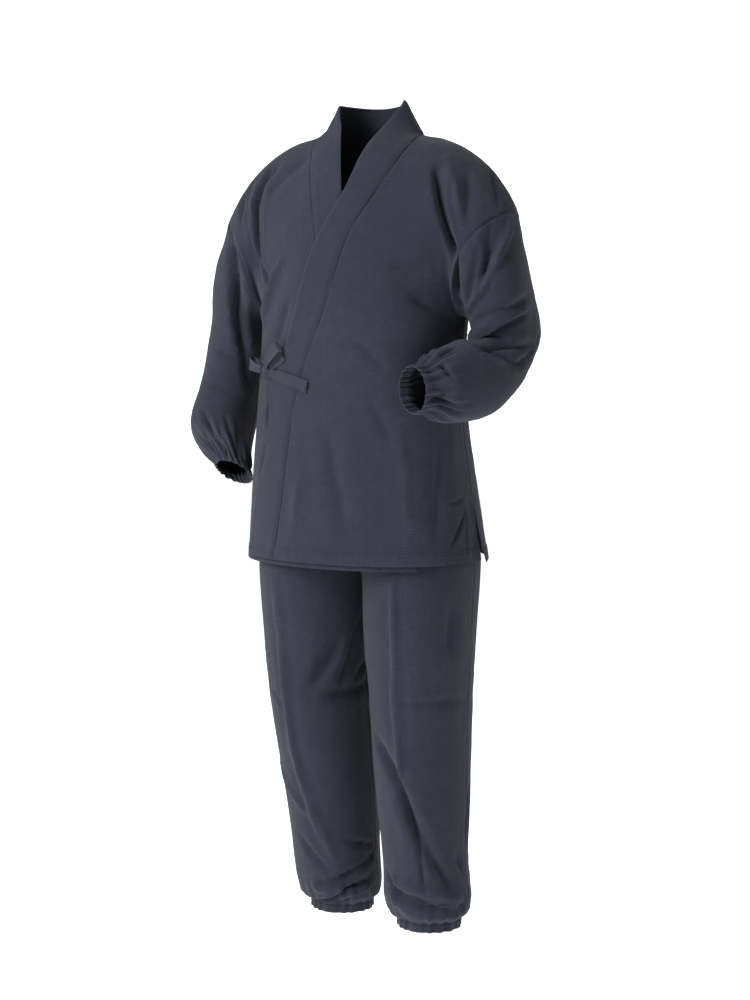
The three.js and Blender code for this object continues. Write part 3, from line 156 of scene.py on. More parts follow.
# creases by what they lie on: from x, y, z to x, y, z, half width, depth (below zero sinks in). A row
# of one point runs on from the end of the row before it
CREASES = {"body": [
    (144, -58, 1315, 174, -70, 1212, 12, -8), (153, -40, 1334, 187, -62, 1257, 12, 5),
    (83, -121, 1165, 146, -81, 1168, 12, -4), (113, -109, 1134, 161, -26, 1073, 24, -6),
    (-143, -43, 1327, -162, -52, 1300, 11, -6), (-168, -67, 1249, 11, -7), (-155, -73, 1153, 11, -6),
    (-200, -41, 1279, -188, -65, 1238, 9, -4), (-73, -56, 1342, -150, -67, 1276, 12, -4),
    (-105, -107, 1175, -145, -84, 1072, 12, 5), (-79, -124, 1116, -114, -108, 1044, 14, -4),
    (-54, -140, 850, -71, -143, 738, 14, 3), (-2, -139, 900, 27, -147, 745, 18, -4),
    (106, -112, 917, 126, -118, 747, 20, 4), (153, -65, 900, 159, -92, 738, 18, -5),
    (-123, -118, 893, -148, -108, 823, 8, -3), (-150, 100, 1190, -112, 112, 1040, 16, -5),
    (148, 100, 1185, 120, 112, 1030, 16, -5), (-60, 112, 1080, -48, 124, 900, 20, 4),
    (70, 112, 1060, 84, 124, 880, 20, 4), (-100, 128, 930, -10, 128, 905, 14, -4),
    (112, 124, 945, 20, 126, 925, 14, -4), (-110, 130, 860, -124, 140, 720, 18, -4),
    (36, 136, 850, 44, 146, 715, 22, 4), (130, 116, 870, 150, 120, 720, 16, -4),
    (-178, 60, 1060, -184, 52, 930, 14, -4), (158, 60, 1000, 168, 60, 880, 14, -4),
    (141, -58, 1314, 155, -71, 1270, 5.5, -9.6), (170, -73, 1221, 5.5, -12.8),
    (181, -73, 1185, 5.5, -14.4), (181, -58, 1127, 5.5, -10), (150, -37, 1338, 172, -72, 1227, 6, 3.5),
    (184, -27, 1322, 197, -65, 1234, 10, -4), (206, 6, 1316, 231, -26, 1261, 8, -4),
    (-157, -39, 1321, -170, -57, 1274, 5, -8.5), (-164, -72, 1217, 5, -11.9),
    (-150, -81, 1168, 5, -13.6), (-129, -102, 1130, 5, -11.9),
    (-190, -26, 1307, -193, -63, 1239, 5, 3.5), (-208, -24, 1289, -200, -60, 1239, 6, -5),
    (-103, -110, 1176, -128, -102, 1123, 6, 4.5), (-147, -83, 1076, 6, 4),
    (-127, -101, 978, -124, -115, 918, 5, -8), (180, -32, 784, 174, -72, 730, 4, -4.5),
    (181, -24, 792, 190, -34, 715, 4, 2), (165, -65, 798, 178, -29, 806, 4, -2.5),
    (-150, 96, 1110, -160, 82, 1050, 8, -5), (140, 96, 1110, 150, 82, 1050, 8, -5),
    (-168, 62, 1290, -158, 92, 1180, 8, -6), (166, 62, 1290, 150, 92, 1180, 8, -6),
    (-20, 118, 1010, 60, 122, 985, 9, -4), (-120, 112, 1000, -60, 118, 970, 9, -4),
    (120, -96, 1120, 150, -66, 1096, 8, -4), (40, -128, 1060, 84, -118, 1010, 12, -2.5),
    (60, -126, 960, 96, -116, 900, 13, -2.5),
], "arm": [
    (174, -70, 1212, 178, -66, 1134, 12, -9), (180, -42, 1099, 11, -7),
    (247, -15, 1244, 198, -54, 1100, 12, 6), (229, -49, 1232, 224, -69, 1142, 10, -6),
    (205, -50, 1086, 253, -57, 1105, 9, -5), (275, -5, 1119, 9, -5),
    (170, -50, 1050, 245, -73, 1035, 9, -5), (269, -25, 1021, 9, -5), (278, 24, 1039, 9, -4),
    (176, -171, 971, 218, -130, 958, 8, -5), (170, -158, 954, 198, -131, 942, 7, -4),
    (190, -157, 976, 213, -143, 988, 8, -4), (184, -145, 1030, 205, -118, 1043, 8, -4),
    (183, -147, 1025, 204, -150, 1011, 7, -4), (131, -89, 1039, 172, -141, 1033, 7, -3),
    (-203, -70, 1206, -206, -64, 1112, 12, -5), (-209, -42, 1030, 12, -5),
    (-256, -51, 1030, -208, -34, 1010, 12, -4), (-265, -57, 973, -215, -39, 961, 12, -4),
    (-262, -79, 901, -243, -70, 848, 8, -4), (-234, -77, 910, -216, -83, 854, 8, -4),
    (-211, -53, 908, -199, -69, 850, 8, -4), (250, 98, 1180, 246, 106, 1080, 13, -5),
    (205, 108, 1150, 214, 104, 1040, 13, 5), (262, 66, 1010, 180, 60, 1000, 12, -5),
    (230, 70, 960, 200, 30, 940, 12, -4), (-238, 96, 1150, -246, 92, 1040, 13, -5),
    (-270, 88, 1080, -290, 74, 960, 13, 4), (-285, 60, 1010, -222, 84, 990, 12, -4),
    (-300, 40, 930, -236, 60, 915, 12, -4), (-290, 20, 880, -270, -10, 840, 9, -4),
    (170, -73, 1221, 181, -73, 1185, 5.5, -14.4), (181, -58, 1127, 5.5, -10),
    (248, -9, 1243, 225, -66, 1140, 6, 7), (188, -42, 1096, 6, 5.6),
    (240, -40, 1224, 216, -68, 1142, 7, -7), (215, -67, 1198, 199, -59, 1112, 6, -7),
    (208, -49, 1065, 250, -36, 1080, 6, -4), (272, -1, 1096, 6, -4),
    (229, -92, 1038, 274, 34, 1049, 9, -7), (196, -96, 1052, 232, -91, 1034, 6, 5.6),
    (229, -92, 1038, 258, -48, 1021, 6, 5.6), (199, -107, 1047, 180, -140, 1030, 4, -4.2),
    (185, -147, 1024, 209, -144, 1002, 4, -5.6), (181, -153, 962, 212, -128, 952, 4, -4.9),
    (179, -161, 971, 204, -139, 967, 4, -4.2), (-164, -72, 1217, -150, -81, 1168, 5, -13.6),
    (-210, -65, 1209, -204, -71, 1153, 9, -6.5), (-210, -41, 1047, 9, -7.8), (-208, -17, 973, 9, -6.5),
    (-263, -72, 928, -224, -77, 860, 6, -7.8), (-227, -65, 920, -206, -67, 859, 5, -5.2),
    (240, 90, 1090, 200, 96, 1076, 7, -5), (262, 40, 1060, 216, 78, 1040, 7, -5),
    (-250, 90, 1000, -290, 60, 1010, 7, -4), (-250, 86, 1090, -262, 84, 1000, 8, 4),
], "leg": [
    (-111, -112, 664, -107, -93, 501, 9, 4), (-102, -75, 382, 9, 4), (-67, -56, 265, 9, 4),
    (-41, -34, 181, 9, 3), (30, -75, 574, -40, -75, 527, 13, -7), (-66, -88, 492, 13, -6),
    (-8, 9, 486, -62, -84, 474, 13, -6), (-70, -38, 155, -7, 11, 160, 10, -7),
    (-91, -8, 109, -20, -8, 140, 10, -6), (-102, -30, 153, -7, 10, 202, 10, -7),
    (95, -115, 675, 94, -108, 569, 9, 4), (96, -101, 486, 9, 4), (97, -90, 335, 9, 4),
    (96, -101, 480, 134, -88, 482, 8, -3), (174, -6, 481, 8, -3), (54, -82, 420, 96, -92, 351, 13, -7),
    (129, -76, 239, 13, -7), (98, -90, 325, 141, -67, 223, 11, -5), (168, -36, 172, 11, -7),
    (65, -63, 171, 120, -76, 157, 10, -8), (171, -19, 132, 10, -7), (96, 112, 560, 94, 104, 430, 15, 5),
    (-96, 114, 560, -94, 112, 430, 15, 5), (40, 80, 520, 140, 88, 480, 13, -5),
    (-40, 90, 510, -140, 92, 470, 13, -5), (60, 76, 400, 150, 76, 370, 13, -4),
    (-44, 96, 390, -140, 92, 360, 13, -4), (50, 60, 225, 150, 62, 215, 10, -7),
    (-20, 90, 230, -120, 92, 216, 10, -7), (60, 62, 170, 158, 46, 176, 10, -6),
    (-22, 88, 176, -118, 92, 168, 10, -6), (172, 20, 330, 170, 10, 240, 10, -5),
    (-150, 40, 300, -138, 40, 220, 10, -5), (150, -50, 640, 152, -46, 560, 14, -5),
    (60, 100, 650, 30, 96, 560, 13, -5), (-62, 100, 650, -30, 98, 560, 13, -5),
    (-120, -109, 678, -109, -86, 478, 4, 3.25), (-88, -65, 323, 4, 3.25), (-64, -48, 223, 4, 3.25),
    (-21, -59, 573, -53, -89, 521, 12, -5), (-7, -21, 597, -30, -60, 484, 10, -6),
    (-8, 1, 523, -15, -33, 493, 8, -5), (-144, -68, 483, -111, -82, 456, 5, -3),
    (-145, -34, 349, -71, -55, 263, 8, 3.9), (-107, -44, 235, -55, -39, 175, 6, -5),
    (-74, -38, 151, -4, 20, 192, 7, -13), (-33, -34, 228, -4, 27, 208, 6, -5),
    (-92, -8, 116, -30, -23, 143, 6, -10.4), (-5, 14, 155, 6, -9.1),
    (95, -115, 693, 91, -98, 482, 4, 3.25), (97, -94, 349, 4, 3.25),
    (45, -74, 424, 95, -94, 349, 5, -5), (126, -84, 250, 6, -5), (130, -73, 171, 6, -5),
    (96, -98, 480, 174, -2, 475, 5, -3), (102, -91, 328, 167, -46, 170, 8, -4),
    (64, -66, 192, 84, -73, 163, 7, -8), (175, -20, 141, 8, -11), (74, -72, 185, 168, -44, 156, 8, 3.2),
    (167, -24, 224, 172, -9, 195, 6, -5), (96, 108, 620, 94, 104, 300, 4, 2.5),
    (-96, 112, 620, -90, 108, 300, 4, 2.5), (40, 74, 470, 110, 92, 440, 7, -5),
    (-40, 84, 470, -110, 104, 436, 7, -5), (60, 70, 190, 130, 78, 160, 7, -9),
    (-30, 90, 190, -104, 108, 162, 7, -9), (170, 30, 200, 150, 60, 160, 7, -6),
    (-134, 60, 210, -110, 96, 170, 7, -6),
]}


# ---- small helpers
def xyz(x, y, z):
    return np.stack(np.broadcast_arrays(x, y, z), -1).astype(float)


def mix(a, b, t):
    return a + (b - a) * t


def ease(t):
    c = np.clip(t, 0, 1)
    return c * c * (3 - 2 * c)


def bell(x):
    return np.exp(-x * x)


def unit(p):
    return p / np.maximum(np.linalg.norm(p, axis=-1, keepdims=True), 1e-9)


# column col where column key has the value at: a smooth curve through the rows, straight past them
def look(rows, key, at, col):
    x, y = rows[key], rows[col]
    at = np.asarray(at, float)
    n = len(x)
    lo = np.maximum(np.arange(n) - 1, 0)
    hi = np.minimum(np.arange(n) + 1, n - 1)
    slope = (y[hi] - y[lo]) / (x[hi] - x[lo])
    i = np.clip(np.searchsorted(x, at) - 1, 0, n - 2)
    span = x[i + 1] - x[i]
    t = (at - x[i]) / span
    c = np.clip(t, 0, 1)
    c2, c3 = c * c, c * c * c
    inside = ((2 * c3 - 3 * c2 + 1) * y[i] + (c3 - 2 * c2 + c) * span * slope[i]
              + (3 * c2 - 2 * c3) * y[i + 1] + (c3 - c2) * span * slope[i + 1])
    low = y[0] + slope[0] * (at - x[0])
    high = y[-1] + slope[-1] * (at - x[-1])
    return np.where(t < 0, low, np.where(t > 1, high, inside))


LATTICE = np.random.default_rng(11).random((32, 32, 32))


# smooth value noise from -1 to 1; size is the width of its lumps in mm
def noise(p, size, seed=0):
    q = p / np.asarray(size, float) + seed * 7.31
    i = np.floor(q).astype(int)
    f = ease(q - i)
    out = 0
    for dx, dy, dz in np.ndindex(2, 2, 2):
        share = (np.where(dx, f[..., 0], 1 - f[..., 0]) * np.where(dy, f[..., 1], 1 - f[..., 1])
                 * np.where(dz, f[..., 2], 1 - f[..., 2]))
        out = out + share * LATTICE[(i[..., 0] + dx) % 32, (i[..., 1] + dy) % 32, (i[..., 2] + dz) % 32]
    return out * 2 - 1


# the same with sharp ridges
def ridged(p, size, seed=0):
    return 1 - 2 * np.abs(noise(p, size, seed)) ** 0.8


# height of the creases: each a narrow trough or ridge between low soft shoulders, wandering a little
# off its line. n is the way out of the cloth; how far a crease lies in or out of it doesn't count
def relief(p, n, on):
    way = p + 2.5 * np.stack([noise(p, 46, k) for k in (1, 2, 3)], -1)
    total = chain = np.zeros(p.shape[:-1])
    rows = CREASES[on]
    for k, (*ends, w, d) in enumerate(rows):
        joined = len(ends) == 3
        runs_on = k + 1 < len(rows) and len(rows[k + 1]) == 5
        a = b if joined else np.array(ends[:3], float)
        b = np.array(ends[-3:], float)
        along = b - a
        t = np.clip((way - a) @ along / (along @ along), 0, 1)
        gap = way - (a + t[..., None] * along)
        lift = (gap * n).sum(-1)
        far = np.linalg.norm(gap - n * lift[..., None], axis=-1) / w
        one = 0.7 * bell(far / 0.45) + 0.55 * bell(far) - 0.2 * bell((far - 1.7) / 0.6)
        one = one * d * (1 - ease((np.abs(lift) - 16) / 16))
        if not joined:
            one = one * (0.35 + 0.65 * ease(t / 0.3))
        if not runs_on:
            one = one * (0.35 + 0.65 * ease((1 - t) / 0.3))
        chain = np.where(np.abs(one) > np.abs(chain), one, chain) if joined else one
        if not runs_on:
            total = total + chain
    return total


# ---- the form of the body
# s runs from -1 at the right side seam to 1 at the left one; face is -1 in front and 1 behind
def ring(s, z, face):
    a = s * math.pi / 2
    full = 1 + SQUARE * np.sin(2 * a) ** 2
    half = look(TORSO, "z", z, "half")
    depth = look(TORSO, "z", z, "front" if face < 0 else "back")
    return xyz(look(TORSO, "z", z, "mid") + half * np.sin(a) * full, face * depth * np.cos(a) * full, z)


def shoulder(s):
    x = SHOULDER_END * s
    fall = np.where(s < 0, 12, 0) * ease((np.abs(s) - 0.2) / 0.8)  # the right shoulder hangs lower
    return xyz(x, SHOULDER_Y, look(SHOULDER, "x", np.abs(x), "z") - fall)


# w runs from the armpit to the shoulder's end
def armhole(side, w, face):
    p = mix(ring(side, UNDERARM, face), shoulder(side), ((1 - np.cos(math.pi * w)) / 2)[..., None])
    out = np.sin(math.pi * w)
    return p + xyz(-side * HOLE_IN * out * out, face * HOLE_OUT * out, HOLE_UP * out * out)


# q is the height up to the armpit, and above it the way up over the chest or back to the shoulder
def torso(s, q, face):
    s, q = np.broadcast_arrays(np.asarray(s, float), np.asarray(q, float))
    w = np.maximum(q - UNDERARM, 0) / UPPER
    phi = math.pi / 2 * (0.45 * w + 0.55 * w * w)
    inward, upward = np.cos(phi), np.sin(phi)
    if face > 0:
        inward = np.sign(inward) * np.abs(inward) ** 0.8
        upward = np.abs(upward) ** 0.75

    def column(at):
        low, high = ring(at, UNDERARM, face), shoulder(at)
        return xyz(mix(low[..., 0], high[..., 0], ease(w)),
                   high[..., 1] + (low[..., 1] - high[..., 1]) * inward,
                   mix(UNDERARM, high[..., 2], upward))

    side = np.where(s < 0, -1.0, 1.0)
    reach = np.clip((np.abs(s) - 0.2) / 0.8, 0, 1.3) ** (2 + 3 * np.abs(1 - w) ** 3)
    up = column(s) + (armhole(side, w, face) - column(side)) * reach[..., None]
    return np.where((q <= UNDERARM)[..., None], ring(s, q, face), up)


def front_skin(side, s, q, off=0.0):
    s, q = np.broadcast_arrays(np.asarray(s, float), np.asarray(q, float))
    n = unit(np.cross(torso(s + 0.004, q, -1) - torso(s - 0.004, q, -1),
                      torso(s, q + 1, -1) - torso(s, q - 1, -1)))
    lap = LAP_LIFT * ease((1 - s) / 0.5) * (1 - ease(((q - UNDERARM) / UPPER - 0.62) / 0.38))
    return torso(s, q, -1) + n * (off + (lap if side > 0 else 0 * lap))[..., None]


def back_panel(u, row):
    c = 2 * u - 1
    m = np.abs(c)
    middle = m <= 1 / 3
    s = np.where(middle, NECK_S * np.sin(math.pi / 2 * m * 3), NECK_S + (1 - NECK_S) * (m - 1 / 3) * 1.5)
    dip = np.where(middle, NAPE * np.cos(math.pi / 2 * m * 3), 0)
    q = np.where(row <= 9, mix(HEM[0], UNDERARM, row / 9),
                 mix(UNDERARM, TOP - UPPER * dip, (row - 9) / 10))
    p = torso(np.where(c < 0, -s, s), q, 1)
    kick = 9 * np.clip((SLIT - q) / (SLIT - HEM[0]), 0, 1.1) ** 1.5 * s ** 6
    return p + xyz(np.sign(c) * kick, 0, 0)


def front_panel(side, u, q):
    seam = look(COLLARS[side], "q", q, "seam")
    return front_skin(side, mix(seam, side, u), q)


# ---- collar, sleeves, legs, bow
def band_front(side, u, q):
    at = {k: look(COLLARS[side], "q", q, k) for k in ("seam", "edge", "sx", "sy", "sz")}
    p = front_skin(side, mix(at["seam"], at["edge"], u), q, 1)
    return p + xyz(at["sx"], at["sy"], at["sz"]) * (u * u)[..., None]


def band_run(u, t):
    left = band_front(1, u, mix(HEM[1], TOP, np.minimum(t, 1)))
    right = band_front(-1, u, mix(TOP, HEM[-1], np.maximum(t - 2, 0)))
    turn = math.pi * np.clip(t - 1, 0, 1)
    seam = torso(NECK_S * np.cos(turn), TOP - UPPER * NAPE * np.sin(turn), 1) + xyz(0, 0, 1)
    one = np.ones_like(turn)
    start, end = band_front(1, one, TOP * one), band_front(-1, one, TOP * one)
    edge = mix(start, end, ((1 - np.cos(turn)) / 2)[..., None])
    edge = edge + xyz(0, NECK_BACK * np.sin(turn), -NECK_DROP * np.sin(turn) ** 2)
    neck = mix(seam, edge, u[..., None])
    t = t[..., None]
    return np.where(t < 1, left, np.where(t > 2, right, neck))


def collar(u, t):
    far = np.minimum(np.abs(t - 1), np.abs(t - 2))
    even = (u * (1 - ease(far / 0.12)) * 0.85)[..., None]
    wide = (band_run(u, t - 0.05) + band_run(u, t + 0.05)) / 2
    close = (band_run(u, t - 0.025) + band_run(u, t + 0.025)) / 2
    return mix(band_run(u, t), (wide + close) / 2, even)


def sleeve(side, u, v):
    rows = SLEEVES[side]
    at = {k: look(rows, "v", v, k) for k in ("cx", "cy", "cz", "hx", "hy", "hz", "d")}
    turn = 2 * math.pi * u
    sign = np.array([side, 1, 1])
    low, high = ring(side, UNDERARM, -1), shoulder(side)
    k = (1 - ease(v / 0.1))[..., None]
    c = mix(xyz(at["cx"], at["cy"], at["cz"]), sign * (low + high) / 2, k)
    half = mix(xyz(at["hx"], at["hy"], at["hz"]), sign * (high - low) / 2, k)
    way = xyz(*[look(rows, "v", v + 0.02, n) - look(rows, "v", v - 0.02, n) for n in ("cx", "cy", "cz")])
    square = unit(np.cross(unit(way), unit(half)))
    front = unit(mix(np.array([0.0, -1.0, 0.0]), square, ease(v / 0.16)[..., None]))
    still = np.cos(turn) ** 2 * (1 - ease(v / 0.3))
    full = 1 + 0.05 * ease(v / 0.3) * (1 - ease((v - 0.85) / 0.1)) * np.sin(2 * turn) ** 2
    p = c + half * (full * np.sin(turn))[..., None] + front * (full * at["d"] * np.cos(turn))[..., None]
    return (p + still[..., None] * np.array([-HOLE_IN, 0, HOLE_UP])) * sign


def leg_oval(side, t, z):
    at = {k: look(LEGS[side], "z", z, k) for k in ("cx", "cy", "a", "b")}
    return xyz(side * (at["cx"] + at["a"] * np.cos(t)), at["cy"] - at["b"] * np.sin(t), z)


def leg_end(side, z):
    rows = LEGS[side]
    return np.arccos(np.clip((INSEAM - look(rows, "z", z, "cx")) / look(rows, "z", z, "a"), -1, 1))


def strap(name, u, v):
    rows = TIES[name]

    def place(a):
        return front_skin(1, *[look(rows, "v", a, col) for col in ("s", "q", "off")])

    far = 0.5 if len(rows["v"]) > 4 else 1.0
    s, q = look(rows, "v", far / 2, "s"), look(rows, "v", far / 2, "q")
    off = front_skin(1, s, q, 1.0) - front_skin(1, s, q, 0.0)
    side = unit(np.cross(off, place(far) - place(0.0)))
    pinch = TIE_PINCH[name]
    drawn = 1 - 0.42 * np.maximum(pinch[0] * (1 - ease(v / 0.35)), pinch[1] * (1 - ease((1 - v) / 0.35)))
    return place(v) + side * ((u - 0.5) * TIE_WIDTH * drawn)[..., None]


# ---- making shells
def put(p):
    return (p - ORIGIN) / 1000


def add_object(name, points, faces):
    mesh = bpy.data.meshes.new(name)
    mesh.from_pydata(put(points).tolist(), [], faces)
    mesh.polygons.foreach_set("use_smooth", [True] * len(faces))
    obj = bpy.data.objects.new(name, mesh)
    bpy.context.scene.collection.objects.link(obj)
    return obj


# cloth coordinates in metres for each corner, and each point's wear with its painted shade and light
def mark(mesh, uv, wear_and_shade):
    mesh.uv_layers.new(name="cloth").data.foreach_set("uv", uv.reshape(-1))
    layer = mesh.attributes.new("wear_and_shade", "FLOAT", "POINT")
    layer.data.foreach_set("value", wear_and_shade.astype(np.float32))


def paint(obj, material):
    obj.data.materials.clear()
    obj.data.materials.append(material)
    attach(obj, "root")


# distance along rows and columns of a grid of points, in mm
def runs(p):
    across = np.zeros(p.shape[:2])
    up = np.zeros(p.shape[:2])
    across[:, 1:] = np.cumsum(np.linalg.norm(np.diff(p, axis=1), axis=-1), axis=1)
    up[1:] = np.cumsum(np.linalg.norm(np.diff(p, axis=0), axis=-1), axis=0)
    return across, up


def normals(p, loop, flip):
    if loop:
        du = np.roll(p, -1, 1) - np.roll(p, 1, 1)
    else:
        du = np.gradient(p, axis=1)
    return unit(np.cross(du, np.gradient(p, axis=0))) * flip


# a closed shell on a grid of points: outer face, inner face and the rim all round. loop closes it to a
# tube, and flip is 1 or -1, for which side of the grid is out
def shell(name, p, loop, flip, wall, wear_and_shade):
    n = normals(p, loop, flip)
    nv, nu = p.shape[:2]
    across, up = runs(p)
    outer, inner = p.reshape(-1, 3), (p - n * wall).reshape(-1, 3)
    count = nu * nv
    cells = nu if loop else nu - 1
    j, i = np.meshgrid(np.arange(nv - 1), np.arange(cells), indexing="ij")
    a, b = j * nu + i, j * nu + (i + 1) % nu
    c, d = b + nu, a + nu
    faces = [np.stack([a, b, c, d], -1).reshape(-1, 4),
             np.stack([d, c, b, a], -1).reshape(-1, 4) + count]
    k = np.arange(cells)
    k1 = (k + 1) % nu
    top = (nv - 1) * nu
    rims = [np.stack([k, k + count, k1 + count, k1], -1),
            np.stack([top + k1, top + k1 + count, top + k + count, top + k], -1)]
    if not loop:
        r = np.arange(nv - 1) * nu
        e = r + nu - 1
        rims += [np.stack([r + nu, r + nu + count, r + count, r], -1),
                 np.stack([e, e + count, e + nu + count, e + nu], -1)]
    quads = np.concatenate(faces + rims)
    if flip < 0:
        quads = quads[:, ::-1]
    obj = add_object(name + "_cloth", np.concatenate([outer, inner]), quads.tolist())
    mesh = obj.data
    face_u = np.concatenate([across.reshape(-1)] * 2)
    face_v = np.concatenate([up.reshape(-1)] * 2)
    loops = quads.reshape(-1)
    uv = np.stack([face_u[loops], face_v[loops]], -1) / 1000
    if loop:
        # the last column of a tube runs on instead of back to zero
        last = np.zeros(len(quads), bool)
        per = (nv - 1) * cells
        for base in (0, per):
            last[base:base + per] = np.tile(k == cells - 1, nv - 1)
        cols = loops.reshape(-1, 4) % nu
        whole = (across[:, -1] + np.linalg.norm(p[:, 0] - p[:, -1], axis=-1)) / 1000
        rows = (loops.reshape(-1, 4) % count) // nu
        fix = last[:, None] & (cols == 0)
        uv = uv.reshape(-1, 4, 2)
        uv[..., 0] = np.where(fix, whole[rows], uv[..., 0])
    mark(mesh, uv, np.concatenate([wear_and_shade.reshape(-1)] * 2))
    # rims are kept crisp
    rim_start = 2 * (nv - 1) * cells
    mesh.update()
    sharp = np.zeros(len(mesh.edges), bool)
    edge_of = np.empty(len(mesh.loops), np.int32)
    mesh.loops.foreach_get("edge_index", edge_of)
    rim_edges = edge_of.reshape(-1, 4)[rim_start:].reshape(-1)
    face_edges = set(edge_of.reshape(-1, 4)[:rim_start].reshape(-1).tolist())
    sharp[[e for e in rim_edges.tolist() if e in face_edges]] = True
    mesh.edges.foreach_set("use_edge_sharp", sharp.tolist())
    return obj


# each point's wear along its edges, with painted shade where the cloth sinks in creases and seams and
# painted light where it is raised
def wear_and_fold_shade(height, edge):
    return np.clip(0.35 + height * 0.10, 0, 1) * 0.6 + 0.5 * bell(edge / 3.0)


# small crumples left in the cloth; much is how strong they are there
def crumple(p, much):
    body = 0.5 + 0.5 * noise(p, 90, 5)
    long = ridged(p, (30, 30, 78), 2) * 0.95 + ridged(p, (17, 17, 40), 3) * 0.5
    slant = noise(p @ SLANT.T, (16, 26, 60), 4) * 0.6
    return much * (0.62 * body * (long + slant) + 0.14 * noise(p, 8, 6))


SLANT = np.array([[0.8, 0.0, 0.6], [0.0, 1.0, 0.0], [-0.6, 0.0, 0.8]])


# a sewn seam d mm from the edge of a piece: the cloth turns in and puckers along it
def seam(p, d, depth=0.9):
    pucker = 0.45 * noise(p, 7, 8) * bell((d - 4) / 5)
    return -depth * bell(d / 2.2) + 0.45 * bell((d - 6) / 4) + pucker


# a double-turned hem, wide mm deep, stitched along its upper edge
def hem(p, d, wide):
    thick = 1.1 * (1 - ease((d - wide + 0.6) / 1.4))
    groove = -0.75 * bell((d - wide + 2.2) / 1.0)
    pucker = 0.9 * noise(p, (9, 9, 24), 9) * bell((d - wide * 0.7) / wide * 1.4)
    return thick + groove + pucker


# the tunnel of an elastic, wide mm deep, with the row of stitches that closes it
def tunnel(d, wide):
    return 1.2 * (1 - ease((d - wide) / 2)) - 0.8 * bell((d - (wide + 1.5)) / 1.2)


# points round a tube, for noise that closes on itself
def tube(radius, turn, along):
    return xyz(radius * np.cos(turn), radius * np.sin(turn), along)


# n shares from 0 to 1, closer together towards both ends
def spread(n, pull=0.55):
    t = np.linspace(0, 1, n)
    return mix(t, (1 - np.cos(math.pi * t)) / 2, pull)


# heights of rows from a hem up: close together over the hem
def hem_rows(start, end, n):
    near = [WIDE_HEM + d for d in (-3, -2.2, -1.4, -0.6, 0.2, 0.9, 2.2, 4.5)]
    return np.concatenate([start + np.array([0, 1, 3, 7, 11, 15] + near),
                           np.linspace(start + WIDE_HEM + 8, end, n)])


# the row or column of a piece that lies nearest to a distance from its edge
def nearest(distances, d):
    return int(np.argmin(np.abs(distances - d)))


stitches = {"cloth": [], "band_cloth": [], "tie_cloth": []}


# sewing stitches along a line of points on the outer face
def sew(slot, p, n, step=STITCH):
    run = np.concatenate([[0], np.cumsum(np.linalg.norm(np.diff(p, axis=0), axis=-1))])
    at = np.arange(step, run[-1] - step, step)
    mid = np.stack([np.interp(at, run, p[:, k]) for k in range(3)], -1)
    ahead = np.stack([np.interp(at + 0.5, run, p[:, k]) for k in range(3)], -1)
    up = unit(np.stack([np.interp(at, run, n[:, k]) for k in range(3)], -1))
    stitches[slot].append((mid + up * 0.12, unit(ahead - mid), up))


# each stitch is a short bar of three sides, pointed at both ends
def make_stitches(slot, material):
    verts, faces = [], []
    for mid, way, up in stitches[slot]:
        side = np.cross(way, up)
        base = sum(len(v) for v in verts)
        parts = [mid - way * 1.15 - up * 0.1]
        for k in (-0.55, 0.55):
            parts += [mid + way * k + side * 0.3, mid + way * k + up * 0.34, mid + way * k - side * 0.3]
        parts.append(mid + way * 1.15 - up * 0.1)
        block = np.stack(parts, 1)
        verts.append(block.reshape(-1, 3))
        start = base + 8 * np.arange(len(mid))[:, None]
        for f in ((0, 1, 2), (0, 2, 3), (0, 3, 1), (7, 5, 4), (7, 6, 5), (7, 4, 6),
                  (1, 4, 5, 2), (2, 5, 6, 3), (3, 6, 4, 1)):
            faces += (start + np.array(f)).tolist()
    paint(add_object("stitches_" + slot, np.concatenate(verts), faces), material)
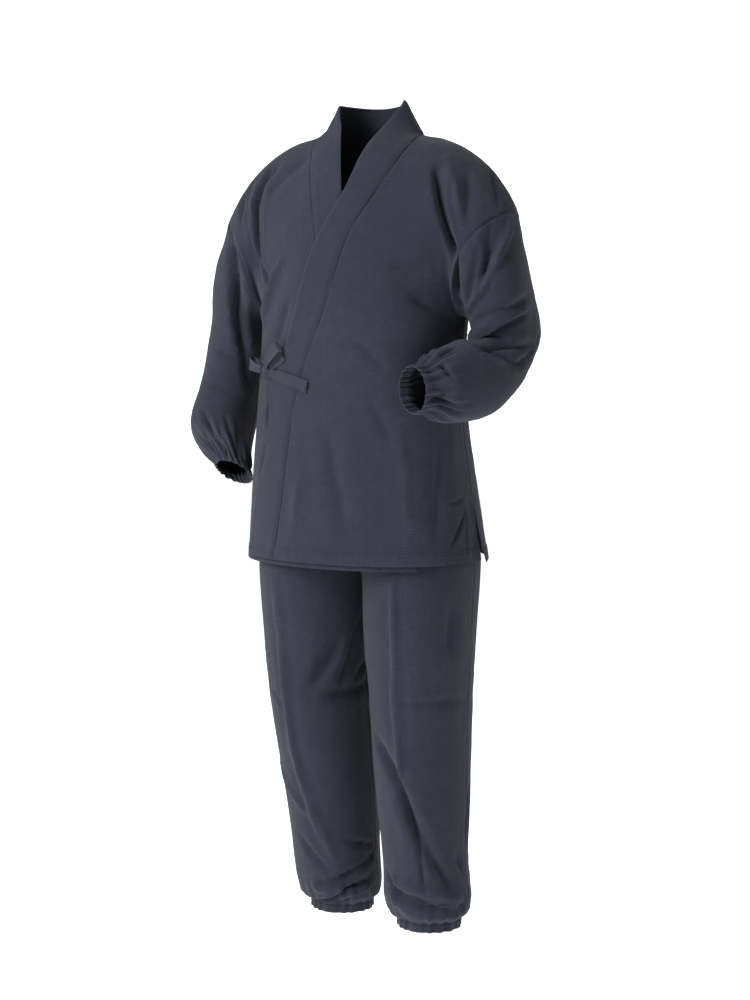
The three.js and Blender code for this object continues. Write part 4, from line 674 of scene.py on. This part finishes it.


# ---- materials
# slub cotton: its dye, the dye of its worn and thick threads and of the cloth painted lighter where it is
# raised, the width of two threads in metres
def cloth(name, color, pale, weave=0.00085, sheen=0.08):
    mat = bpy.data.materials.new(name)
    mat.use_nodes = True
    tree = mat.node_tree
    nodes, links = tree.nodes, tree.links
    shader = nodes["Principled BSDF"]
    shader.inputs["Roughness"].default_value = 0.88
    shader.inputs["Specular IOR Level"].default_value = 0.2
    shader.inputs["Sheen Weight"].default_value = sheen
    shader.inputs["Sheen Roughness"].default_value = 0.55

    def node(kind, **values):
        made = nodes.new(kind)
        for key, value in values.items():
            setattr(made, key, value)
        return made

    def math_node(op, *values):
        made = node("ShaderNodeMath", operation=op)
        for socket, value in zip(made.inputs, values):
            if isinstance(value, (int, float)):
                socket.default_value = value
            else:
                links.new(value, socket)
        return made.outputs[0]

    def add(a, b):
        return math_node("ADD", a, b)

    def times(a, b):
        return math_node("MULTIPLY", a, b)

    def around(a, gain):
        return times(math_node("SUBTRACT", a, 0.5), gain)

    def noise_node(vector, scale, detail=2.0):
        made = node("ShaderNodeTexNoise")
        made.inputs["Scale"].default_value = scale
        made.inputs["Detail"].default_value = detail
        links.new(vector, made.inputs["Vector"])
        return made.outputs[0]

    def stretched(vector, x, y):
        made = node("ShaderNodeMapping")
        made.inputs["Scale"].default_value = (x, y, 1)
        links.new(vector, made.inputs["Vector"])
        return made.outputs[0]

    uv = node("ShaderNodeUVMap", uv_map="cloth").outputs[0]
    place = node("ShaderNodeTexCoord").outputs["Object"]
    bits = node("ShaderNodeSeparateXYZ")
    links.new(uv, bits.inputs[0])
    # slubs: threads that thicken here and there, across and along
    weft = noise_node(stretched(uv, 45, 900), 1.0)
    warp = noise_node(stretched(uv, 1000, 38), 1.0)
    slub = add(times(weft, 0.55), times(warp, 0.45))
    # the plain weave itself
    k = 2 * math.pi / weave
    wave = times(math_node("SINE", times(bits.outputs[0], k)), math_node("SINE", times(bits.outputs[1], k)))
    # uneven dye over the whole piece
    dye = noise_node(place, 5.5, 4.0)
    blotch = noise_node(place, 38.0, 3.0)
    # this attribute holds wear near the edges, painted shade where the cloth sinks and painted light where
    # it is raised
    wear_and_shade = node("ShaderNodeAttribute", attribute_name="wear_and_shade").outputs["Fac"]
    tone = add(around(slub, 1.5), around(dye, 0.5))
    for share in (around(blotch, 0.30), times(wave, 0.10), times(wear_and_shade, 0.3)):
        tone = add(tone, share)
    ramp = node("ShaderNodeValToRGB")
    ramp.color_ramp.elements[0].position = 0.0
    ramp.color_ramp.elements[0].color = (*[c * 0.74 for c in color], 1)
    ramp.color_ramp.elements[1].position = 1.0
    ramp.color_ramp.elements[1].color = (*pale, 1)
    mid = ramp.color_ramp.elements.new(0.42)
    mid.color = (*color, 1)
    links.new(add(tone, 0.28), ramp.inputs[0])
    links.new(ramp.outputs[0], shader.inputs["Base Color"])
    height = add(add(times(wave, 0.4), times(slub, 1.3)), times(noise_node(place, 420.0, 2.0), 0.5))
    bump = node("ShaderNodeBump")
    bump.inputs["Strength"].default_value = 0.55
    bump.inputs["Distance"].default_value = 0.0004
    links.new(height, bump.inputs["Height"])
    links.new(bump.outputs[0], shader.inputs["Normal"])
    return mat


def plain(name, color, rough, glow):
    mat = bpy.data.materials.new(name)
    mat.use_nodes = True
    shader = mat.node_tree.nodes["Principled BSDF"]
    shader.inputs["Base Color"].default_value = (*color, 1)
    shader.inputs["Roughness"].default_value = rough
    shader.inputs["Emission Color"].default_value = (1, 1, 1, 1)
    shader.inputs["Emission Strength"].default_value = glow
    return mat


DYES = {
    "cloth": ((0.0222, 0.0246, 0.0395), (0.050, 0.055, 0.083)),
    "band_cloth": ((0.0212, 0.0236, 0.0380), (0.050, 0.055, 0.083)),
    "tie_cloth": ((0.0270, 0.0292, 0.0435), (0.060, 0.064, 0.090)),
    "waist_cloth": ((0.0210, 0.0230, 0.0350), (0.048, 0.052, 0.074)),
}
MATERIALS = {slot: cloth(slot, *dyes) for slot, dyes in DYES.items()}
THREAD = cloth("thread", (0.021, 0.023, 0.035), (0.048, 0.052, 0.074), weave=0.0005, sheen=0.1)


def finish_piece(name, obj, slot):
    paint(obj, MATERIALS[slot])
    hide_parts(name)


# a sheet of cloth from the points of its outer face; h is how far each is raised, edge how far from
# the sheet's edge. Gives the way out at each point
def make_sheet(name, slot, p, h, edge, flip, loop=False, wall=WALL):
    # the wear of the edges and the painted shade and painted light of the sunken and raised cloth
    finish_piece(name, shell(name, p, loop, flip, wall, wear_and_fold_shade(h, edge)), slot)
    return normals(p, loop, flip)


# 0 at the armholes, 1 from 16 mm away from them: there the panels keep to the sleeves' edges
def fade(p):
    side = np.where(p[..., 0] < 0, -1.0, 1.0)
    out = np.full(p.shape[:-1], 1e9)
    for face in (-1, 1):
        for w in np.linspace(0, 1, 70):
            hole = armhole(side, np.full(side.shape, w), face)
            gap = np.linalg.norm(p - hole, axis=-1)
            gap = np.where((p[..., 1] < 10) == (face < 0), gap, 1e9)
            out = np.minimum(out, gap)
    return ease((out - 1) / 15)


# ---- jacket panels
def make_front(side):
    name = "front_" + HAND[side]
    q = np.concatenate([hem_rows(HEM[side], UNDERARM, 92), np.linspace(UNDERARM, TOP, 70)[1:]])
    u, q = np.meshgrid(spread(104), q)
    p = front_panel(side, u, q)
    n = normals(p, False, side)
    across, up = runs(p)
    edge = across[:, -1:] - across
    calm = fade(p)
    much = 0.5 + 0.4 * ease((q - 930) / 120)
    h = relief(p, n, "body") * calm + crumple(p, much) * (0.35 + 0.65 * calm)
    h += hem(p, up, WIDE_HEM) + seam(p, across) + np.where(q > SLIT, 1, 0.0) * seam(p, edge)
    h += np.where(q <= SLIT, 1, 0.0) * hem(p, edge, SLIT_HEM) * ease((SLIT - q) / 12)
    h += seam(p, up[-1:] - up, 0.6) - 1.7 * bell((across - 4.6) / 1.5)  # a groove beside the band
    out = p + n * h[..., None]
    m = make_sheet(name, "cloth", out, h, np.minimum(up, np.minimum(across, edge)), side)
    row = nearest(up[:, 50], HEM_STITCH)
    sew("cloth", out[row], m[row])
    col = nearest(edge[40], SLIT_STITCH)
    low = q[:, 0] < SLIT
    sew("cloth", out[low][:, col], m[low][:, col])


def make_back():
    body = UNDERARM - HEM[0]
    rows = np.concatenate([hem_rows(0, body, 92) / (body / 9), np.linspace(9, 19, 80)[1:]])
    cols = np.concatenate([spread(52)[:-1] / 3, 1 / 3 + np.linspace(0, 1, 70)[:-1] / 3,
                           2 / 3 + spread(52) / 3])
    u, row = np.meshgrid(cols, rows)
    p = back_panel(u, row)
    n = normals(p, False, -1)
    across, up = runs(p)
    edge = np.minimum(across, across[:, -1:] - across)
    calm = fade(p)
    h = relief(p, n, "body") * calm + crumple(p, 0.8) * (0.35 + 0.65 * calm)
    low = (p[..., 2] < SLIT) * 1.0
    h += (hem(p, up, WIDE_HEM) + (1 - low) * seam(p, edge)
          + low * hem(p, edge, SLIT_HEM) * ease((SLIT - p[..., 2]) / 12))
    h += seam(p, up[-1:] - up, 0.6)
    mid = np.abs(p[..., 0])  # the centre back seam
    h += -0.8 * bell(mid / 1.6) + 0.35 * bell((mid - 5) / 3) + 0.3 * noise(p, 8, 3) * bell(mid / 9)
    out = p + n * h[..., None]
    m = make_sheet("back", "cloth", out, h, np.minimum(up, edge), -1)
    row = nearest(up[:, 80], HEM_STITCH)
    sew("cloth", out[row], m[row])


def make_sleeve(side):
    name = "sleeve_" + HAND[side]
    v = np.concatenate([np.linspace(0, 0.06, 12), np.linspace(0.06, 0.82, 84)[1:],
                        np.linspace(0.82, 1, 46)[1:]])
    u, v = np.meshgrid(np.linspace(0, 1, 240, endpoint=False), v)
    p = sleeve(side, u, v)
    n = normals(p, True, -side)
    across, up = runs(p)
    from_end = up[-1:] - up
    turn = 2 * math.pi * u
    drift = noise(tube(4, turn, 0), 2.2, 3)
    lumps = noise(tube(4, turn, v * 9), 1.1, 5)
    wave = np.cos(2 * math.pi * (SLEEVE_GATHERS * u + 0.55 * drift))
    reach = ease((v - 0.84 + 0.03 * lumps) / 0.12)
    h = wave * reach * (2.1 + 0.8 * lumps) * (0.65 + 0.35 * ease(from_end / 12))
    h += relief(p, n, "arm") * ease(v / 0.05)
    bend = bell((v - 0.47) / 0.16) if side > 0 else bell((v - 0.6) / 0.3) * 0.5
    h += crumple(p, 0.75 + 1.1 * bend) * ease((v - 0.01) / 0.06) * (1 - 0.6 * reach)
    h += seam(p, up) + tunnel(from_end, CUFF)
    # the seam along the underarm
    under = np.minimum(np.abs(u - 0.75), 1 - np.abs(u - 0.75)) * across[:, -1:]
    h += -0.7 * bell(under / 1.8) + 0.3 * bell((under - 5) / 3) + 0.3 * noise(p, 8, 12) * bell(under / 8)
    out = p + n * h[..., None]
    make_sheet(name, "cloth", out, h, np.minimum(up, from_end), -side, loop=True)


# ---- trousers
def make_leg(side, face):
    name = f"trousers_{'front' if face < 0 else 'back'}_{HAND[side]}"
    foot = LEGS[side]["z"]
    low = np.linspace(foot[0], foot[3], 44)
    z = np.concatenate([low, np.linspace(foot[3], HIP, 118)[1:],
                        np.linspace(HIP, WAIST_LOW, 18)[1:]])[::-1]
    u, z = np.meshgrid(spread(82), z)
    t = -face * u * leg_end(side, z)
    flat = leg_oval(side, t, z)
    flip = -side * face
    n = normals(flat, False, -flip)
    middle = xyz(side * look(LEGS[side], "z", z, "cx"), look(LEGS[side], "z", z, "cy"), z)
    n = n * np.sign(np.sum(n * (flat - middle), -1))[..., None]  # outwards
    drift = noise(tube(6, t, 0), 2.4, 2)
    lumps = noise(tube(6, t, z / 26), 1.3, 7)
    foot_reach = 1 - ease((z - foot[1] - 10 + 10 * lumps) / 48)
    h = np.cos(LEG_GATHERS * t + 2.6 * drift) * foot_reach * (1.5 + 0.9 * lumps)
    h += np.cos(2 * math.pi * WAIST_GATHERS * 0.25 * u + 2 * drift) * 2.2 * ease((z - 900) / 60)
    h += relief(flat, n, "leg") * ease((z - foot[1]) / 10)
    much = 0.85 + 0.9 * bell((z - KNEE) / 90) + 0.5 * bell((z - SHIN) / 80)
    h += crumple(flat, much) * (1 - 0.6 * foot_reach)
    across = runs(flat)[0]
    edge = across[:, -1:] - across
    rise = z - foot[0]
    h += seam(flat, across) + seam(flat, edge)
    h += tunnel(rise, ANKLE)
    h += (4.5 + 2 * lumps) * bell((rise - 27 + 4 * drift) / 11)  # bloused over the elastic
    out = flat + n * h[..., None]
    out[..., 0] = side * np.maximum(INSEAM, side * out[..., 0])
    make_sheet(name, "cloth", out, h, np.minimum(rise, np.minimum(across, edge)), flip)


def make_waistband():
    z = np.linspace(WAIST_LOW + 0.3, WAIST_HIGH, 9)
    u, z = np.meshgrid(np.linspace(0, 1, 400, endpoint=False), z)
    side = np.where(u < 0.5, 1.0, -1.0)
    share = np.where(u < 0.5, u, u - 0.5) * 4 - 1
    cx, a = look(LEGS[1], "z", z, "cx"), look(LEGS[1], "z", z, "a")
    t = side * share * np.arccos(np.clip(-cx / a, -1, 1))
    cy, b = look(LEGS[1], "z", z, "cy"), look(LEGS[1], "z", z, "b")
    p = xyz(side * (cx + a * np.cos(t)), cy - b * np.sin(t), z)
    out_way = unit(xyz(p[..., 0], p[..., 1] - 5, 0))
    h = np.cos(2 * math.pi * WAIST_GATHERS * 0.25 * share) * 2.2
    h = h + 0.5 * noise(p, 9, 3) + 0.7 * bell((z - 990) / 8) - 0.6 * bell((z - 980) / 1.5)
    out = p + out_way * h[..., None]
    edge = np.minimum(z - WAIST_LOW, WAIST_HIGH - z)
    make_sheet("waistband", "waist_cloth", out, h, edge, -1, loop=True, wall=WAIST_WALL)


# ---- collar and bow
def make_collar():
    t = np.concatenate([np.linspace(0, 0.9, 200)[:-1], np.linspace(0.9, 2.1, 170)[:-1],
                        np.linspace(2.1, 3, 200)])
    u, t = np.meshgrid(spread(24, 0.75) * 1.05 - 0.05, t)
    p = collar(u, t)
    n = normals(p, False, -1)
    across, up = runs(p)
    edge = across[:, -1:] - across
    h = relief(p, n, "body") * fade(p) * 0.8
    h += 0.55 * noise(p, 24, 3) + 0.35 * noise(p, 9, 4) * bell((across - 6) / 6)
    h += (-0.9 * bell(across / 1.6) - 0.55 * bell((across - BAND_STITCH) / 0.9)
          + 0.5 * bell((across - 9) / 6))
    h += -0.9 * bell(edge / 2.0) + 0.35 * bell((edge - 6) / 5)
    h += 0.7 * (1 - ease((np.minimum(up, up[-1:] - up) - 12) / 1.5))
    out = p + n * h[..., None]
    m = make_sheet("collar", "band_cloth", out, h, edge, -1, wall=BAND_WALL)
    col = nearest(across[100], BAND_STITCH)
    sew("band_cloth", out[:, col], m[:, col])


def make_tie(name):
    u, v = np.meshgrid(spread(15, 0.8), np.linspace(0, 1, 72))
    p = strap(name, u, v)
    n = normals(p, False, -1)
    across, up = runs(p)
    edge = np.minimum(across, across[:, -1:] - across)
    pinch = TIE_PINCH[name]
    near = np.maximum(pinch[0] * (1 - ease(v / 0.4)), pinch[1] * (1 - ease((1 - v) / 0.4)))
    h = -0.5 * bell(edge / 0.8) - 0.4 * bell((edge - 2.2) / 0.7) + 0.25 * noise(p, 9, 2)
    h += near * 0.8 * np.cos(2 * math.pi * 2.5 * u + 0.6)
    h += 0.5 * (1 - ease((np.minimum(up, up[-1:] - up) - 5) / 1.2)) * (1 - near)
    out = p + n * h[..., None]
    m = make_sheet(name, "tie_cloth", out, h, edge, -1, wall=TIE_WALL)
    for at in (2, -3):
        sew("tie_cloth", out[4:-4, at], m[4:-4, at], TIE_STITCH)


# the knot: the strap wrapped once round the others, its turns pressed into a rounded lump
def make_knot():
    s, q, off, along, across, thick = (-0.447, 1003, 1.8, 10, 11, 8)
    middle = front_skin(1, s, q, off)
    up = unit(front_skin(1, s, q, 1.0) - front_skin(1, s, q, 0.0))
    way = unit(front_skin(1, s + 0.03, q - 3) - front_skin(1, s - 0.03, q + 3))
    side = np.cross(up, way)
    b, a = np.meshgrid(np.linspace(0.02, math.pi - 0.02, 40),
                       np.linspace(0, 2 * math.pi, 64, endpoint=False), indexing="ij")
    r = np.sin(b) ** 0.8
    slant = np.cos(b) * 5.5 + np.cos(a) * 2.6
    groove = (1 - 0.10 * bell((slant - 1.6) / 0.55) - 0.10 * bell((slant + 2.4) / 0.55)
              - 0.04 * np.cos(slant * 3.1))
    ball = np.stack([6 * np.cos(a) * r, 6 * np.sin(a) * r, 6 * np.cos(b)], -1)
    groove = groove + 0.02 * noise(ball, 1.6, 2)
    p = (middle + way * (along * r * np.cos(a) * groove)[..., None]
         + up * (thick * r * np.sin(a) * groove)[..., None]
         + side * (across * np.cos(b) * (1 - 0.12 * np.cos(2 * a)) * (0.9 + 0.1 * groove))[..., None])
    nv, nu = p.shape[:2]
    verts = np.concatenate([p.reshape(-1, 3), [p[0].mean(0)], [p[-1].mean(0)]])
    j, i = np.meshgrid(np.arange(nv - 1), np.arange(nu), indexing="ij")
    c0, c1 = j * nu + i, j * nu + (i + 1) % nu
    faces = np.stack([c0, c0 + nu, c1 + nu, c1], -1).reshape(-1, 4).tolist()
    k = np.arange(nu)
    top = (nv - 1) * nu
    pole = np.full(nu, nv * nu)
    faces += np.stack([pole, k, (k + 1) % nu], -1).tolist()
    faces += np.stack([pole + 1, top + (k + 1) % nu, top + k], -1).tolist()
    obj = add_object("tie_knot_cloth", verts, faces)
    index = np.empty(len(obj.data.loops), np.int32)
    obj.data.loops.foreach_get("vertex_index", index)
    flat = np.concatenate([np.stack([a * 9, b * 11], -1).reshape(-1, 2), [[0, 0]], [[0, 34]]]) / 1000
    # painted shade in the grooves between the turns, and painted light on the turns
    wear_and_shade = np.clip(0.2 + 3 * (groove - 0.9), 0, 0.6)
    mark(obj.data, flat[index], np.concatenate([wear_and_shade.reshape(-1), [0.3, 0.3]]))
    finish_piece("tie_knot", obj, "tie_cloth")


for hand in (1, -1):
    make_front(hand)
    make_sleeve(hand)
    for way in (-1, 1):
        make_leg(hand, way)
make_back()
make_waistband()
make_collar()
for tie in TIES:
    make_tie(tie)
make_knot()
for part in stitches:
    make_stitches(part, THREAD)

# ---- floor, light and camera
bpy.ops.mesh.primitive_plane_add(size=14, location=(0, 0, -ORIGIN[2] / 1000))
floor = bpy.context.object
floor.name = "floor"
floor.data.materials.append(plain("floor", (0.93, 0.93, 0.93), 0.9, 0.75))

world = bpy.data.worlds.new("studio")
bpy.context.scene.world = world
world.use_nodes = True
tree = world.node_tree
tree.nodes.clear()
output, blend, seen, soft, white = [
    tree.nodes.new("ShaderNode" + kind)
    for kind in ("OutputWorld", "MixShader", "LightPath", "Background", "Background")
]
for shade, strength in ((soft, 0.26), (white, 1.6)):
    shade.inputs[0].default_value = (1, 1, 1, 1)
    shade.inputs[1].default_value = strength
tree.links.new(seen.outputs["Is Camera Ray"], blend.inputs[0])
tree.links.new(soft.outputs[0], blend.inputs[1])
tree.links.new(white.outputs[0], blend.inputs[2])
tree.links.new(blend.outputs[0], output.inputs[0])


# stands at a place and looks at a target
def aim(obj, place, target):
    place, target = np.array(place, float), np.array(target, float)
    back = unit(place - target)
    right = unit(np.cross([0, 0, 1], back))
    up = np.cross(back, right)
    m = np.eye(4)
    m[:3, 0], m[:3, 1], m[:3, 2], m[:3, 3] = right, up, back, place
    obj.matrix_world = Matrix(m.tolist())


def area_light(name, place, target, size, power):
    data = bpy.data.lights.new(name, "AREA")
    data.shape = "RECTANGLE"
    data.size, data.size_y = size
    data.energy = power
    obj = bpy.data.objects.new(name, data)
    bpy.context.scene.collection.objects.link(obj)
    aim(obj, place, target)


TURN = math.radians(25)  # the camera stands this far round to the wearer's left
TILT = math.radians(6.9)
CAMERA_FAR, CAMERA_ASIDE, CAMERA_HIGH = 3800, 9.66, 1250
RIGHT = np.array([math.cos(TURN), math.sin(TURN), 0])
TOWARD = np.array([math.sin(TURN), -math.cos(TURN), 0])
# place towards the camera, to its right and up from the neck; height it shines at; size; power
LIGHTS = {
    "key": (2.3, -3.0, 1.5, -0.5, (1.6, 2.2), 190),
    "fill": (3.0, 2.4, 0.4, -0.6, (2.2, 2.2), 6),
    "top": (0.4, -0.6, 2.0, -0.5, (2.0, 2.0), 14),
    "back": (-2.8, 0.8, 1.2, -0.6, (2.4, 2.4), 26),
}
for name, (toward, right, high, low, size, power) in LIGHTS.items():
    at = TOWARD * toward + RIGHT * right + np.array([0, 0, high])
    area_light(name, at, (0, 0, low), size, power)

camera_data = bpy.data.cameras.new("camera")
camera = bpy.data.objects.new("camera", camera_data)
bpy.context.scene.collection.objects.link(camera)
camera_data.sensor_fit = "VERTICAL"
camera_data.sensor_height = 36
camera_data.sensor_width = 27
camera_data.lens = 85
place = (TOWARD * CAMERA_FAR + RIGHT * CAMERA_ASIDE + np.array([0, 0, CAMERA_HIGH]) - ORIGIN) / 1000
ahead = -TOWARD * math.cos(TILT) - np.array([0, 0, math.sin(TILT)])
aim(camera, place, place + ahead)
camera_data.clip_end = 100
bpy.context.scene.camera = camera
bpy.context.scene.view_settings.view_transform = "Standard"

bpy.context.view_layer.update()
